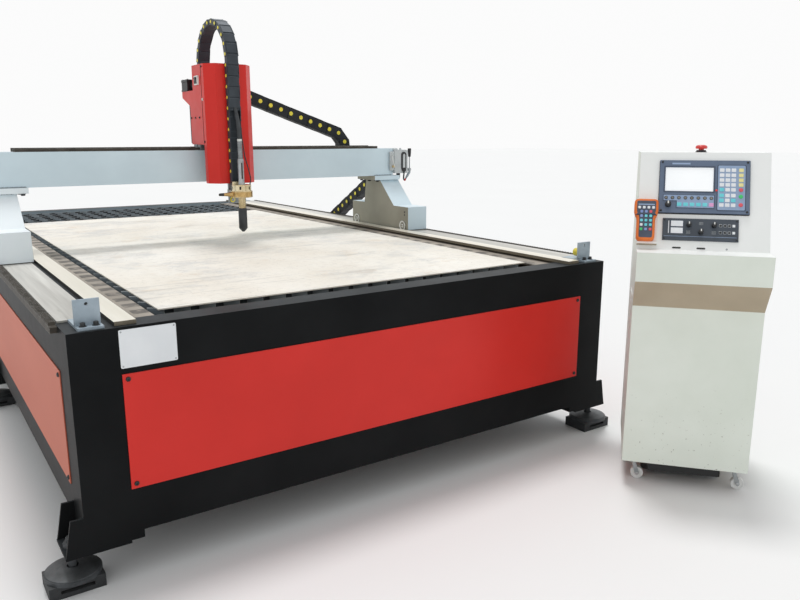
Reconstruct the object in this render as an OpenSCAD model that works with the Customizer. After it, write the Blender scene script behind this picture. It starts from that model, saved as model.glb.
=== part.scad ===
/* [Table frame] */
// Width of the frame across its legs
frame_w = 2080; // [1800:10:2400]
// Length of the frame, front to back
frame_l = 3700; // [3500:10:4300]
// Height of the frame's top above the floor
frame_h = 750; // [700:5:820]
// Width of the legs and of the side beams
leg_w = 160; // [160:1:190]
// Height of the beams
beam_h = 160; // [140:1:180]
// Depth of the front and rear beams
end_beam_d = 90; // [70:1:120]
// Wall of the frame tubes
tube_t = 6; // [4:0.5:10]
// Height of the leg bottoms above the floor
leg_lift = 120; // [105:1:135]
// Height of the lower beams above the floor
low_beam_z = 144; // [136:1:170]
// Height of the sides' lower beams above the front one's underside
side_low_up = 30; // [10:1:60]
// Size of the square cross tubes under the bed
cross_tube = 80; // [60:1:100]
// Number of cross tubes
cross_count = 3; // [2:1:6]
/* [Feet] */
// How far a foot bracket stands out of its leg
bracket_out = 55; // [45:1:70]
// Height of the bracket's upright plates
bracket_h = 106; // [70:1:130]
// Depth of the bracket, front to back
bracket_d = 132; // [100:1:150]
// How far the bracket reaches under the leg
bracket_under = 123; // [80:1:150]
// Plate thickness of the bracket
bracket_t = 8; // [5:1:12]
// Distance of the foot's axis outside the leg
foot_out = 29; // [26:1:33]
// Diameter of the levelling disc
disc_d = 155; // [120:1:180]
// Thickness of the levelling disc
disc_t = 12; // [8:1:16]
// Width of the pad block under the disc
block_w = 150; // [110:1:170]
// Depth of the pad block
block_d = 112; // [90:1:150]
// Height of the pad block
block_h = 38; // [28:1:42]
// Diameter of the levelling bolt
bolt_d = 24; // [16:1:28]
// Height of the levelling nuts
nut_h = 16; // [10:1:20]
/* [Panels] */
// Lap of the panels over the beams and legs
panel_lap = 27; // [24:1:40]
// Sheet thickness of the panels
panel_t = 3; // [1.5:0.5:4]
// Distance of the panel screws from the sheet's edges
screw_in = 15; // [12:1:20]
// Head diameter of the screws
screw_d = 14; // [8:1:18]
// Head height of the screws
screw_h = 5; // [3:0.5:8]
/* [Bed] */
// Height of the slat tops below the frame's top
slat_drop = 5; // [4.5:0.5:20]
// Height of the slats
slat_h = 55; // [40:1:58]
// Thickness of the slats
slat_t = 4; // [3:0.5:6]
// Distance from slat to slat
slat_pitch = 100; // [80:1:150]
// Width of the slats' zigzag
zigzag_w = 40; // [20:1:55]
// Length of one zigzag wave
zigzag_l = 80; // [60:1:120]
// Distance of the slat ends inside the side beams
slat_in = 112; // [60:1:120]
// Width of the bars that bear the slats
bearer_w = 12; // [8:1:20]
// Thickness of the ledges beside the slat ends
side_ledge_t = 6; // [4:0.5:10]
// Height of the slat tops above the ledges
side_ledge_drop = 4; // [2:1:20]
// Gap between the ledges and the slat ends
side_ledge_gap = 4; // [2:1:20]
// Thickness of the dross tray's sheet
tray_t = 3; // [2:0.5:5]
// Width of the work sheet
sheet_w = 1500; // [1000:10:1560]
// Distance of the sheet's rear edge from the frame's rear
sheet_rear = 820; // [300:5:1500]
// Thickness of the work sheet
sheet_t = 4; // [1:0.5:4.5]
// Distance of the sheet's front edge from the frame's front
sheet_y = 165; // [130:1:200]
/* [Rails and racks] */
// Width of the running strips
strip_w = 105; // [90:1:110]
// Thickness of the running strips
strip_t = 6; // [4:0.5:8]
// Distance of the running strips from the frame's side
strip_in = 5; // [2:1:10]
// Distance of the running strips from the frame's ends
strip_end = 142; // [141:1:144]
// Width of the guide bars
bar_w = 60; // [40:1:66]
// Height of the guide bars
bar_h = 12; // [8:1:16]
// Distance of the guide bars from the running wheels
bar_gap = 4; // [3:0.5:8]
// Distance of the guide bars from the frame's ends
bar_end = 20; // [10:1:60]
// Module of the long racks and their pinions
y_module = 5; // [4:0.5:5]
// Teeth of a gantry pinion
y_teeth = 14; // [14:1:16]
// Width of the long racks
rack_w = 20; // [16:1:22]
// Height of the rack's body below its teeth
rack_h = 17; // [12:1:20]
// How far the tooth tips stand above the frame's top
rack_rise = 9; // [8.5:0.5:9.5]
// Distance of the racks from the frame's ends
rack_end = 110; // [80:1:160]
/* [Stops] */
// Width of a stop bracket
stop_w = 68; // [50:1:80]
// Depth of a stop bracket's base
stop_d = 128; // [110:1:129]
// Height of a stop bracket's upright
stop_h = 78; // [70:1:90]
// Plate thickness of a stop bracket
stop_t = 8; // [5:1:12]
// Distance of a stop bracket from the frame's end
stop_in = 12; // [5:1:12]
// Distance of the upright from the base's outer edge
stop_set = 36; // [32:1:44]
// Diameter of the rubber bumper
bumper_d = 32; // [24:1:36]
// Length of the rubber bumper
bumper_l = 40; // [25:1:44]
/* [Gantry] */
// Distance from the frame's front to the gantry carriages
box_y = 1245; // [400:5:2400]
// Length of a gantry carriage
box_l = 577; // [560:1:600]
// Width of a gantry carriage
box_w = 122; // [118:1:124]
// Height of a carriage's lower box
box_h = 122; // [118:1:140]
// Gap between the frame's top and a carriage
box_gap = 10; // [8:0.5:10]
// How far a carriage stands out past the frame's side
box_out = 4; // [3:0.5:5]
// Wall of the carriages
box_t = 6; // [5:0.5:8]
// Height of the pedestals on the carriages
pedestal_h = 134; // [110:1:160]
// Thickness of the flange under the beam
flange_t = 24; // [16:1:30]
// Width of the flange under the beam
flange_w = 167; // [150:1:180]
// Distance of the gantry beam's ends inside the frame's sides
beam_side_in = 38; // [35:1:50]
// Width and height of the gantry beam
cross_beam = 150; // [142:1:152]
// Wall of the gantry beam
cross_beam_t = 8; // [5:0.5:10]
// Distance from the carriage's front to the beam's front face
beam_set = 275; // [272:1:278]
// Radius of the running wheels
wheel_r = 23.7; // [22:0.1:24.5]
// Width of the running wheels
wheel_w = 18; // [12:1:18]
// Diameter of the wheel axles
axle_d = 12; // [8:1:14]
// Distance of the wheel axles from the carriage's ends
wheel_in = 50; // [44:1:60]
// Size of the square gantry motors
motor_w = 62; // [50:1:62]
// Length of the gantry motors
motor_l = 90; // [60:1:92]
// Diameter of the motor shafts
shaft_d = 16; // [10:1:20]
/* [Cross travel] */
// Place of the cutting head across the frame
head_x = 1040; // [900:1:1180]
// Width of the linear rails
rail_w = 15; // [12:1:16]
// Height of the linear rails
rail_h = 13; // [11:0.5:14]
// Distance of the rails from the gantry beam's ends
rail_end = 90; // [60:1:120]
// Length of a linear bearing block
block_l = 60; // [40:1:70]
// Width of a linear bearing block
block_wide = 32; // [28:1:33]
// Module of the cross rack and its pinion
x_module = 4; // [3.5:0.5:4]
// Teeth of the cross pinion
x_teeth = 12; // [12:1:13]
// Width of the cross rack's body
x_rack_w = 16; // [12:1:18]
// Height of the cross rack
x_rack_h = 16; // [12:1:18]
// Height of the head plate above the gantry beam
saddle_rise = 27; // [25:0.5:30]
// Thickness of the head plate
saddle_t = 12; // [8:1:16]
/* [Cutting head] */
// Width of the head cover
cover_w = 230; // [222:1:240]
// Width of the cover's flat front
cover_flat = 150; // [130:1:170]
// Depth of the cover's corner slopes
cover_slope = 48; // [30:1:52]
// Depth of the cover's sides, front to back
cover_d = 80; // [76:1:84]
// Distance of the cover's front from the gantry beam
cover_out = 160; // [158:1:164]
// Height of the cover
cover_h = 545; // [530:1:560]
// How far the cover hangs below the gantry beam's underside
cover_drop = 3; // [0:1:6]
// Sheet thickness of the cover and the motor box
cover_t = 3; // [2:0.5:4]
// Width of the lift plate
lift_w = 120; // [100:1:130]
// Diameter of the lift screw
screw_rod_d = 16; // [12:1:18]
// Size of the square cross motor
x_motor_w = 80; // [60:1:80]
// Height of the cross motor above its ledge
x_motor_h = 54; // [40:1:70]
// Size of the square lift motor
z_motor_w = 46; // [40:1:48]
/* [Torch] */
// Distance of the torch axis in front of the gantry beam
torch_out = 210; // [207:1:214]
// Offset of the torch axis from the head's middle
torch_x = 7; // [0:1:10]
// Height of the torch tip above the frame's top
tip_rise = 61; // [58:1:70]
// Length of the black torch tip
tip_l = 112; // [90:1:120]
// Diameter of the black torch tip
tip_d = 40; // [36:1:44]
// Length of the brass stem
stem_l = 52; // [40:1:60]
// Diameter of the brass stem
stem_d = 34; // [28:1:36]
// Diameter of the collar's lower ring
collar_d = 100; // [90:1:104]
// Height of each of the collar's two rings
ring_h = 29; // [24:1:32]
// Length of the bright torch tube
tube_l = 120; // [100:1:140]
// Diameter of the bright torch tube
tube_d = 28; // [24:1:32]
// Length of the ribbed hose
hose_l = 80; // [60:1:100]
// Diameter of the ribbed hose
hose_d = 22; // [18:1:26]
// Number of ribs on the hose
hose_ribs = 11; // [6:1:20]
// Diameter of the torch lead
lead_d = 18; // [12:1:20]
/* [Cable chains] */
// Height of the links of the two long chains
link_h = 63; // [50:1:63]
// Width of the links of the two long chains
link_w = 60; // [45:1:62]
// Pitch of the links of the two long chains
link_p = 62; // [60:0.5:64]
// Thickness of the head chain
head_link_h = 28; // [20:1:29]
// Width of the head chain
head_link_w = 60; // [40:1:64]
// Pitch of the head chain
head_link_p = 48; // [47:0.5:49]
// Sheet thickness of the chain trays
chain_tray_t = 3; // [2:0.5:4]
/* [Oil pump] */
// Width of the pump body
pump_w = 84; // [60:1:90]
// Depth of the pump body
pump_d = 70; // [50:1:90]
// Height of the pump body
pump_h = 128; // [100:1:140]
// Length of the pump lever
lever_l = 120; // [90:1:130]
// Diameter of the lever rod
lever_d = 8; // [6:0.5:10]
/* [Console] */
// Place of the console across the frame
console_x = 1921; // [1900:1:2300]
// Place of the console in front of the frame
console_y = -553; // [-900:1:-540]
// Turn of the console
console_yaw = -50; // [-56:1:-46]
// Width of the console
console_w = 428; // [410:1:450]
// Depth of the console's lower part
console_d = 400; // [380:1:460]
// Height of the console's underside
console_lift = 85; // [80:1:95]
// Height of the sloped face
face_h = 327; // [320:1:340]
// How far the desk lip overhangs the lower panel
lip_out = 75; // [60:1:90]
// Height of the slope under the desk lip
under_h = 100; // [60:1:140]
// Height of the desk lip
lip_h = 100; // [90:1:110]
// Depth of the ledge at the foot of the sloped face
ledge_d = 95; // [80:1:110]
// Height of the console
console_h = 1199; // [1180:1:1215]
// Set-back of the console's top edge from the lower panel
top_back = 170; // [150:1:190]
// Sheet thickness of the console
console_t = 3; // [2:0.5:4]
// Width of the controller's bezel
bezel_w = 294; // [270:1:310]
// Height of the controller's bezel
bezel_h = 194; // [180:1:200]
// Thickness of the bezel
bezel_t = 8; // [5:0.5:12]
// Distance of the bezel from the sloped face's top
bezel_in = 33; // [25:1:38]
// Width of the screen
screen_w = 158; // [130:1:165]
// Height of the screen
screen_h = 88; // [70:1:92]
// Width of the height control panel
thc_w = 245; // [220:1:260]
// Height of the height control panel
thc_h = 79; // [70:1:82]
// Thickness of the height control panel
thc_t = 5; // [3:0.5:8]
// Diameter of the small knobs
knob_d = 16; // [12:1:20]
// Height of the small knobs
knob_h = 16; // [10:1:20]
// Diameter of the stop button
stop_button_d = 40; // [30:1:46]
// Width of the hand pendant at its top
pendant_w = 80; // [70:1:84]
// Length of the hand pendant
pendant_l = 150; // [130:1:160]
// Thickness of the hand pendant
pendant_t = 28; // [20:1:34]
// Radius of the caster wheels
caster_r = 23; // [20:1:25]
// Width of the caster wheels
caster_w = 20; // [14:1:22]
// Trail of the casters
caster_trail = 18; // [12:1:22]
/* [Hidden] */
$fn = 48;
// Overrun of all cuts
overrun = 1;
// Radial play of a shaft in its bore
run_fit = 0.05;
// Gap between parts that slide or roll on each other
slide_gap = 0.3;
// Gap between a shaft or motor and the sheet it passes through
pass_gap = 1;

// Bed
bed_w = frame_w - 2 * leg_w;
bed_l = frame_l - 2 * end_beam_d;
bed_z = frame_h - beam_h;
tray_z = bed_z + cross_tube;
bearer_z = tray_z + tray_t;
slat_z = frame_h - slat_drop - slat_h;
bearer_h = slat_z - bearer_z;
rim_share = 0.8;
sheet_l = frame_l - sheet_y - sheet_rear;
slat_l = bed_w - 2 * slat_in;
slat_count = floor((bed_l - zigzag_w) / slat_pitch);
zigzag_n = round(2 * slat_l / zigzag_l);
bearer_count = 4;

// Feet
foot_ys = [bracket_d / 2, frame_l / 2, frame_l - bracket_d / 2];
bracket_top_share = 0.62;
bolt_play = 0.5;
nut_share = 1.75;
bolt_tail = 14;
slot_w_share = 0.6;
slot_h_share = 0.28;
slot_d_share = 0.2;

// Panels
panel_x = leg_w - panel_lap;
panel_z = low_beam_z + beam_h - panel_lap;
panel_h = bed_z + panel_lap - panel_z;
side_panel_l = frame_l / 2 - leg_w / 2 + panel_lap - panel_x;

// Stops
stop_share = 0.36;
stop_x = (leg_w - stop_w) * stop_share;
stop_face = stop_in + stop_set + stop_t;
stop_bolt_share = 0.25;
bumper_z_share = 0.42;
stop_hole_share = 0.83;
stop_hole_d = 10;

// Gears
tooth_share = 0.42;
flank = tan(20);
root_share = 1.25;
function pitch_of(m) = PI * m;
function half_at(m, h) = pitch_of(m) * tooth_share / 2 - h * flank;

// Gantry
box_z = frame_h + box_gap;
pedestal_shares = [0.239, 0.48, 0.735, 0.768];
pedestal_z = box_z + box_h;
flange_z = pedestal_z + pedestal_h;
flange_lap = 19;
flange_y = box_y + box_l * pedestal_shares[1] - flange_lap;
flange_l = box_l * (pedestal_shares[2] - pedestal_shares[1]) + 2 * flange_lap;
beam_z = flange_z + flange_t;
beam_y = box_y + beam_set;
beam_x = beam_side_in;
cross_beam_l = frame_w - 2 * beam_side_in;
beam_top = beam_z + cross_beam;
cap_t = 6;
wheel_z = frame_h + strip_t + slide_gap + wheel_r;
wheel_ys = [box_y + wheel_in, box_y + box_l - wheel_in];
wheel_proud = 5;
wheel_x = box_w - box_out + wheel_proud - wheel_w;
wheel_gap = 1.5;
axle_tail = 1.5;
y_pitch_r = y_module * y_teeth / 2;
rack_tip = frame_h + rack_rise;
pinion_y = box_y + box_l / 2;
pinion_z = rack_tip - y_module + y_pitch_r;
pinion_gap = 2;
pinion_w = rack_w - box_out - pinion_gap;
shaft_share = 0.5;

// Cross travel
rail_shares = [0.117, 0.417];
rail_l = cross_beam_l - 2 * rail_end;
block_lift = 2;
x_pitch_r = x_module * x_teeth / 2;
x_drive_share = 1.013;
x_drive_y = beam_y + cross_beam * x_drive_share;
x_drive_off = 75;
x_drive_x = head_x - x_drive_off;
x_rack_y = x_drive_y - x_pitch_r - root_share * x_module - x_rack_w;
saddle_z = beam_top + saddle_rise;

// Cutting head
plate_gap = 8;
plate_t = 12;
plate_w_share = 0.65;
plate_y = beam_y - plate_gap - plate_t;
cover_y = beam_y - cover_out;
cover_z = beam_z - cover_drop;
cover_top = cover_z + cover_h;
plate_z = cover_z + plate_gap;
plate_h = cover_h - 3 * plate_gap;
seam_y = cover_y + cover_d;
box_back = 167;
box_step = 181;
ledge_back = 272;
ledge_low = 223;
ledge_rise = 252;
tower_back = 118;
ledge_z = saddle_z + ledge_rise;
reducer_d = 40;
reducer_lift = 5;
plug_d = 44;
plug_l = 40;
x_shaft_l = 30;
x_plate_l = 210;
block_off_share = 0.33;
cover_corner = (cover_w - cover_flat) / 2;
cover_slant = norm([cover_corner, cover_slope]);
z_rail_share = 0.33;
z_rail_y = plate_y - rail_h;
z_screw_y = plate_y - z_motor_w / 2 - slide_gap;
bearing_t = 12;
lift_t = 14;
lift_y = cover_y + cover_d;
lift_block_y = lift_y + lift_t;
lift_z = cover_z + 2 * lift_t + bearing_t + plate_gap;
lift_h_share = 0.5;
nut_w_share = 0.28;
nut_z_share = 0.42;
nut_h_share = 0.2;
lift_block_shares = [0.17, 0.75];
tongue_drop = 102;
tongue_shares = [-0.04, 0.5];
z_motor_h = 66;
z_motor_z = plate_z + plate_h - z_motor_h;
z_bore = 20;
bearing_d = 40;
lift_h = cover_h * lift_h_share;

// Torch
torch_ax = head_x + torch_x;
torch_ay = beam_y - torch_out;
tip_z = frame_h + tip_rise;
stem_z = tip_z + tip_l;
ring_z = stem_z + stem_l;
tube_z = ring_z + 2 * ring_h;
hose_z = tube_z + tube_l;
hose_top = hose_z + hose_l;
ferrule_h = 10;
ferrule_d = 22;
hose_bore_share = 0.45;
rib_share = 0.82;
tip_nose_share = 0.14;
nozzle_share = 0.3;
clamp_play = 0.1;
upper_ring_share = 0.89;
prong_l = 62;
prong_d = 12;
arm_w = 40;
ring_slots = 6;
ring_slot_shares = [0.09, 0.06, 0.5];
lead_rise = 108;
wire_d = 4;
wire_out = [33, -23];
wire_in_share = 0.4;
wire_rise = 275;

// Cable chains
chain_gap = 0.4;
x_run = 11;
x_slope = -19;
x_bend = 4;
x_back = 8;
x_chain_y_off = 70;
x_chain_y = beam_y + cross_beam + x_chain_y_off;
x_plate_t = 6;
x_turn = (180 + x_slope) / (x_bend + 1);
x_chain_x = head_x + cover_w / 2 + x_plate_t + chain_gap + corner_back(link_h, x_slope, x_turn);
x_chain_rise = 28;
x_chain_z = ledge_z + x_chain_rise;
x_angles = chain_angles(x_run, x_slope, 0, x_bend, x_back);
x_ends = chain_points([x_chain_x, x_chain_z], x_angles, link_p);
x_low_z = x_ends[len(x_ends) - 1][1];
y_run = 10;
y_slope = -28.5;
y_flat = 4;
y_bend = 5;
y_back = 10;
y_chain_out = 60;
y_chain_x = frame_w + y_chain_out;
y_bracket_l = 126;
y_turn = 180 / (y_bend + 1);
y_chain_y = flange_y + flange_l + y_bracket_l + chain_gap + corner_back(link_h, y_slope, y_turn);
y_chain_share = 0.75;
y_chain_z = beam_z - flange_t * y_chain_share;
y_angles = chain_angles(y_run, y_slope, y_flat, y_bend, y_back);
y_ends = chain_points([y_chain_y, y_chain_z], y_angles, link_p);
y_low_z = y_ends[len(y_ends) - 1][1];
y_tray_y_share = 0.24;
z_run = 12;
z_bend = 11;
z_back = 2;
z_chain_gap = 1;
z_chain_y = cover_y - z_chain_gap - head_link_h / 2;
z_foot_h = 13;
z_chain_z = tube_z + z_foot_h + chain_gap;
z_angles = concat(
    [for (i = [1:z_run]) 90],
    [for (i = [1:z_bend]) 90 - 180 * i / (z_bend + 1)],
    [for (i = [1:z_back]) -90]
);
z_ends = chain_points([z_chain_y, z_chain_z], z_angles, head_link_p);
z_end = z_ends[len(z_ends) - 1];
tray_wall_share = 0.85;
hanger_h = 20;
hanger_count = 5;
hanger_l = 50;

// How far the first link's lower corner reaches back past its pivot
function corner_back(h, slope, turn) = max(0, h / 2 * (sin(-slope) - tan(turn / 2) * cos(slope)));
// Headings of a chain's links: a run, a level stretch, the bend and the way back
function chain_angles(run, slope, flat, bend, back) = concat(
    [for (i = [1:run]) slope],
    flat > 0 ? [slope / 2] : [],
    flat > 0 ? [for (i = [1:flat]) 0] : [],
    [for (i = [1:bend]) bend_start(slope, flat) + (-180 - bend_start(slope, flat)) * i / (bend + 1)],
    [for (i = [1:back]) -180]
);
function bend_start(slope, flat) = flat > 0 ? 0 : slope;
// Pivots of a chain, from its first one and its links' headings
function chain_points(start, angles, p, i = 0) = i == len(angles) ? [start] : concat(
    [start],
    chain_points(start + p * [cos(angles[i]), sin(angles[i])], angles, p, i + 1)
);

// Oil pump
pump_x = beam_x + cross_beam_l + cap_t;
mount_t = 6;
mount_lap = 24;
pump_y_share = -0.13;
pump_y = beam_y + cross_beam * pump_y_share;
pump_z = beam_z + (cross_beam - pump_h) / 2;
nipple_d = 22;
nipple_l = 26;
pivot_d = 8;
pivot_rise = 18;
pivot_out = 32;
pin_tail = 1;
pump_end = pump_x + mount_t + pump_w;
pivot_x = pump_end + pivot_out;
pivot_y = pump_y + pump_d / 2;
pivot_z = pump_z + pivot_rise;
ear_t = 10;
hub_d = 18;
hub_l = 12;
grip_d = 16;
grip_share = 0.36;

// Console
slope_y = ledge_d - lip_out;
slope_z = console_h - face_h;
lip_z = slope_z - lip_h;
low_front_z = lip_z - under_h;
slope_l = norm([top_back - slope_y, console_h - slope_z]);
slope_a = atan2(console_h - slope_z, top_back - slope_y);
bezel_y = slope_l - bezel_in - bezel_h;
bezel_x = -bezel_w / 2;
screen_shares = [0.065, 0.41];
screen_depth = 2;
screen_t = 3;
module_d = 50;
module_in = 12;
module_play = 0.5;
thc_gap = 20;
thc_y = bezel_y - thc_gap - thc_h;
thc_off = 8;
thc_x = -thc_w / 2 - thc_off;
knob_stem_d = 6;
knob_shares = [[0.35, 0.7], [0.51, 0.38], [0.68, 0.7]];
dial_shares = [0.105, 0.145];
dial_d = 20;
key_t = 1.6;
pad_shares = [0.641, 0.05, 0.317, 0.867];
pad_column_shares = [0.165, 0.366, 0.566, 0.824];
pad_row_shares = [0.122, 0.226, 0.33, 0.455, 0.561, 0.664, 0.77, 0.88];
row_shares = [0.045, 0.085, 0.575, 0.258];
row_notch_share = 0.26;
key_w_share = 0.16;
key_h_share = 0.075;
round_count = 8;
square_count = 6;
round_share = 0.07;
pad_t = 1;
dial_h = 14;
dial_bore = 6;
button_u_share = -0.017;
button_stem_in = 10;
button_h = 14;
button_rise = 12;
button_travel = 4;
collar_share = 0.8;
stem_share = 0.45;
button_back_share = 0.22;
plinth_in = 94;
plinth_set = 20;
plinth_h = 34;
back_t = 3;
drives_shares = [0.22, 0.4, 0.5];
drive_count = 3;
lip_turn_share = (norm([lip_out, lip_z - low_front_z]) - lip_z + low_front_z) / lip_out;
face_turn_share = (slope_l - top_back + slope_y) / (console_h - slope_z);
pendant_low_w_share = 0.77;
pendant_waist_share = 0.6;
pendant_over = 14;
pendant_low_share = 1.15;
pendant_y = bezel_y - thc_gap - thc_h * pendant_low_share;
cradle_t = 8;
cradle_h = 18;
caster_in = 40;
caster_us = [caster_in - console_w / 2, console_w / 2 - caster_in];
caster_front = 55;
caster_rear_share = 0.86;
fork_t = 3;
fork_gap = 1;
fork_w = caster_w + 2 * (fork_t + fork_gap);
caster_axle_d = 8;
swivel_d = 34;
swivel_h = 6;
stud_d = 12;
caster_top = console_lift - swivel_h;

// The middle of the part's box, taken off every place
function turned(u, v) = [
    console_x + u * cos(console_yaw) - v * sin(console_yaw),
    console_y + u * sin(console_yaw) + v * cos(console_yaw)
];
console_corners = [
    turned(-console_w / 2, -lip_out), turned(console_w / 2, -lip_out),
    turned(-console_w / 2, console_d + back_t), turned(console_w / 2, console_d + back_t)
];
x_low = -foot_out - disc_d / 2;
x_high = max(frame_w - x_low, max([for (c = console_corners) c[0]]));
y_low = min([for (c = console_corners) c[1]]);
y_high = max(frame_l + panel_t + screw_h, foot_ys[2] + disc_d / 2);
origin_x = (x_low + x_high) / 2;
origin_y = (y_low + y_high) / 2;

module placed() translate([-origin_x, -origin_y, 0]) children();
module both_sides() {
    children();
    translate([frame_w, 0, 0]) mirror([1, 0, 0]) children();
}
module right_side() translate([frame_w, 0, 0]) mirror([1, 0, 0]) children();
// A profile drawn in y and z, extruded along x
module along_x(x, w) translate([x, 0, 0]) rotate([90, 0, 90]) linear_extrude(w) children();
// A profile drawn in x and z, extruded along y
module along_y(y, w) translate([0, y + w, 0]) rotate([90, 0, 0]) linear_extrude(w) children();
// A round bar along x or y
module bar_x(at, d, l) translate(at) rotate([0, 90, 0]) cylinder(d = d, h = l);
module bar_y(at, d, l) translate(at) rotate([-90, 0, 0]) cylinder(d = d, h = l);
// A round bar between two points
module rod(a, b, d) {
    v = b - a;
    translate(a)
        rotate([0, acos(v[2] / norm(v)), atan2(v[1], v[0])])
            cylinder(d = d, h = norm(v));
}
// A square tube, open along one axis
module tube(at, size, axis, wall) {
    cut = [for (i = [0:2]) i == axis ? overrun : -wall];
    difference() {
        translate(at) cube(size);
        translate(at - cut) cube(size + 2 * cut);
    }
}
// Outline of a toothed wheel with a gap at angle zero
module gear_outline(m, n) {
    r = m * n / 2;
    root = r - root_share * m;
    tip = r + m;
    flank_a = half_at(m, 0) / r * 180 / PI;
    tip_a = half_at(m, m) / tip * 180 / PI;
    tooth = [
        [root, -flank_a], [r, -flank_a], [tip, -tip_a], [tip, tip_a], [r, flank_a], [root, flank_a]
    ];
    polygon([
        for (i = [0:n - 1], k = tooth)
            k[0] * [cos((i + 0.5) * 360 / n + k[1]), sin((i + 0.5) * 360 / n + k[1])]
    ]);
}
// Outline of a rack along the first axis, pitch line at zero, one tooth centred at the middle
module rack_outline(m, l_back, l_front, body) {
    p = pitch_of(m);
    root = -root_share * m;
    tip_half = half_at(m, m);
    root_half = half_at(m, root);
    teeth = [for (i = [-floor(l_back / p - 1):floor(l_front / p - 1)]) i * p];
    polygon(concat(
        [[-l_back, root - body], [-l_back, root]],
        [
            for (t = teeth, k = [[-root_half, root], [-tip_half, m], [tip_half, m], [root_half, root]])
                [t + k[0], k[1]]
        ],
        [[l_front, root], [l_front, root - body]]
    ));
}

module leg(h) difference() {
    cube([leg_w, leg_w, h]);
    translate([tube_t, tube_t, -overrun])
        cube([leg_w - 2 * tube_t, leg_w - 2 * tube_t, h - tube_t + overrun]);
}
module foot_bracket() difference() {
    union() {
        translate([-bracket_out, -bracket_d / 2, leg_lift - bracket_t])
            cube([bracket_out + bracket_under, bracket_d, bracket_t]);
        for (y = [-bracket_d / 2, bracket_d / 2 - bracket_t])
            along_y(y, bracket_t) polygon([
                [-bracket_out, leg_lift - bracket_t], [0, leg_lift - bracket_t],
                [0, leg_lift + bracket_h], [-bracket_out * bracket_top_share, leg_lift + bracket_h]
            ]);
    }
    translate([-foot_out, 0, leg_lift - bracket_t - overrun])
        cylinder(d = bolt_d + 2 * bolt_play, h = bracket_t + 2 * overrun);
}
module table_frame() color("#17181a") placed() {
    both_sides() {
        for (y = [0, frame_l - leg_w]) translate([0, y, leg_lift]) leg(frame_h - leg_lift);
        translate([0, (frame_l - leg_w) / 2, leg_lift]) leg(bed_z - leg_lift);
        tube([0, leg_w, bed_z], [leg_w, frame_l - 2 * leg_w, beam_h], 1, tube_t);
        for (y = [leg_w, (frame_l + leg_w) / 2])
            tube(
                [0, y, low_beam_z + side_low_up],
                [leg_w, frame_l / 2 - leg_w - leg_w / 2, beam_h - side_low_up], 1, tube_t
            );
        for (y = foot_ys) translate([0, y, 0]) foot_bracket();
    }
    for (y = [0, frame_l - end_beam_d], z = [low_beam_z, bed_z])
        tube([leg_w, y, z], [bed_w, end_beam_d, beam_h], 0, tube_t);
    for (i = [1:cross_count]) {
        y = frame_l * i / (cross_count + 1);
        tube([leg_w, y - cross_tube / 2, bed_z], [bed_w, cross_tube, cross_tube], 0, tube_t);
    }
}
module levelling_feet() color("#5b5e61") placed() both_sides() {
    for (y = foot_ys) translate([-foot_out, y, 0]) {
        translate([0, 0, block_h]) cylinder(d = disc_d, h = disc_t);
        translate([0, 0, block_h]) cylinder(d = bolt_d, h = leg_lift + nut_h + bolt_tail - block_h);
        for (z = [leg_lift, leg_lift - bracket_t - nut_h])
            translate([0, 0, z]) cylinder(d = bolt_d * nut_share, h = nut_h, $fn = 6);
    }
}
module foot_blocks() color("#2c2e30") placed() both_sides() {
    for (y = foot_ys) translate([-foot_out - block_w / 2, y - block_d / 2, 0]) difference() {
        cube([block_w, block_d, block_h]);
        translate([block_w * (1 - slot_w_share) / 2, -overrun, block_h * (1 - slot_h_share) / 2])
            cube([block_w * slot_w_share, block_d * slot_d_share + overrun, block_h * slot_h_share]);
    }
}
module front_panel() color("#d8352b") placed()
    translate([panel_x, -panel_t, panel_z]) cube([frame_w - 2 * panel_x, panel_t, panel_h]);
module side_panels() color("#d8352b") placed() {
    translate([panel_x, frame_l, panel_z]) cube([frame_w - 2 * panel_x, panel_t, panel_h]);
    both_sides() for (y = [panel_x, frame_l - panel_x - side_panel_l])
        translate([-panel_t, y, panel_z]) cube([panel_t, side_panel_l, panel_h]);
}
module screw(grip) {
    cylinder(d = screw_d, h = screw_h);
    translate([0, 0, -grip]) cylinder(d = screw_d / 2, h = grip + screw_h / 2);
}
module frame_screws() color("#22262a") placed() {
    grip = panel_t + tube_t;
    for (z = [panel_z + screw_in, panel_z + panel_h - screw_in]) {
        for (x = [panel_x + screw_in, frame_w - panel_x - screw_in]) {
            translate([x, -panel_t, z]) rotate([90, 0, 0]) screw(grip);
            translate([x, frame_l + panel_t, z]) rotate([-90, 0, 0]) screw(grip);
        }
        both_sides() for (y = [panel_x, frame_l - panel_x - side_panel_l],
            e = [screw_in, side_panel_l - screw_in])
            translate([-panel_t, y + e, z]) rotate([0, -90, 0]) screw(grip);
    }
    both_sides() for (y = [stop_in + stop_set / 2, frame_l - stop_in - stop_set / 2],
        s = [stop_bolt_share, 1 - stop_bolt_share])
        translate([stop_x + stop_w * s, y, frame_h + stop_t]) screw(stop_t + tube_t);
}
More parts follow.
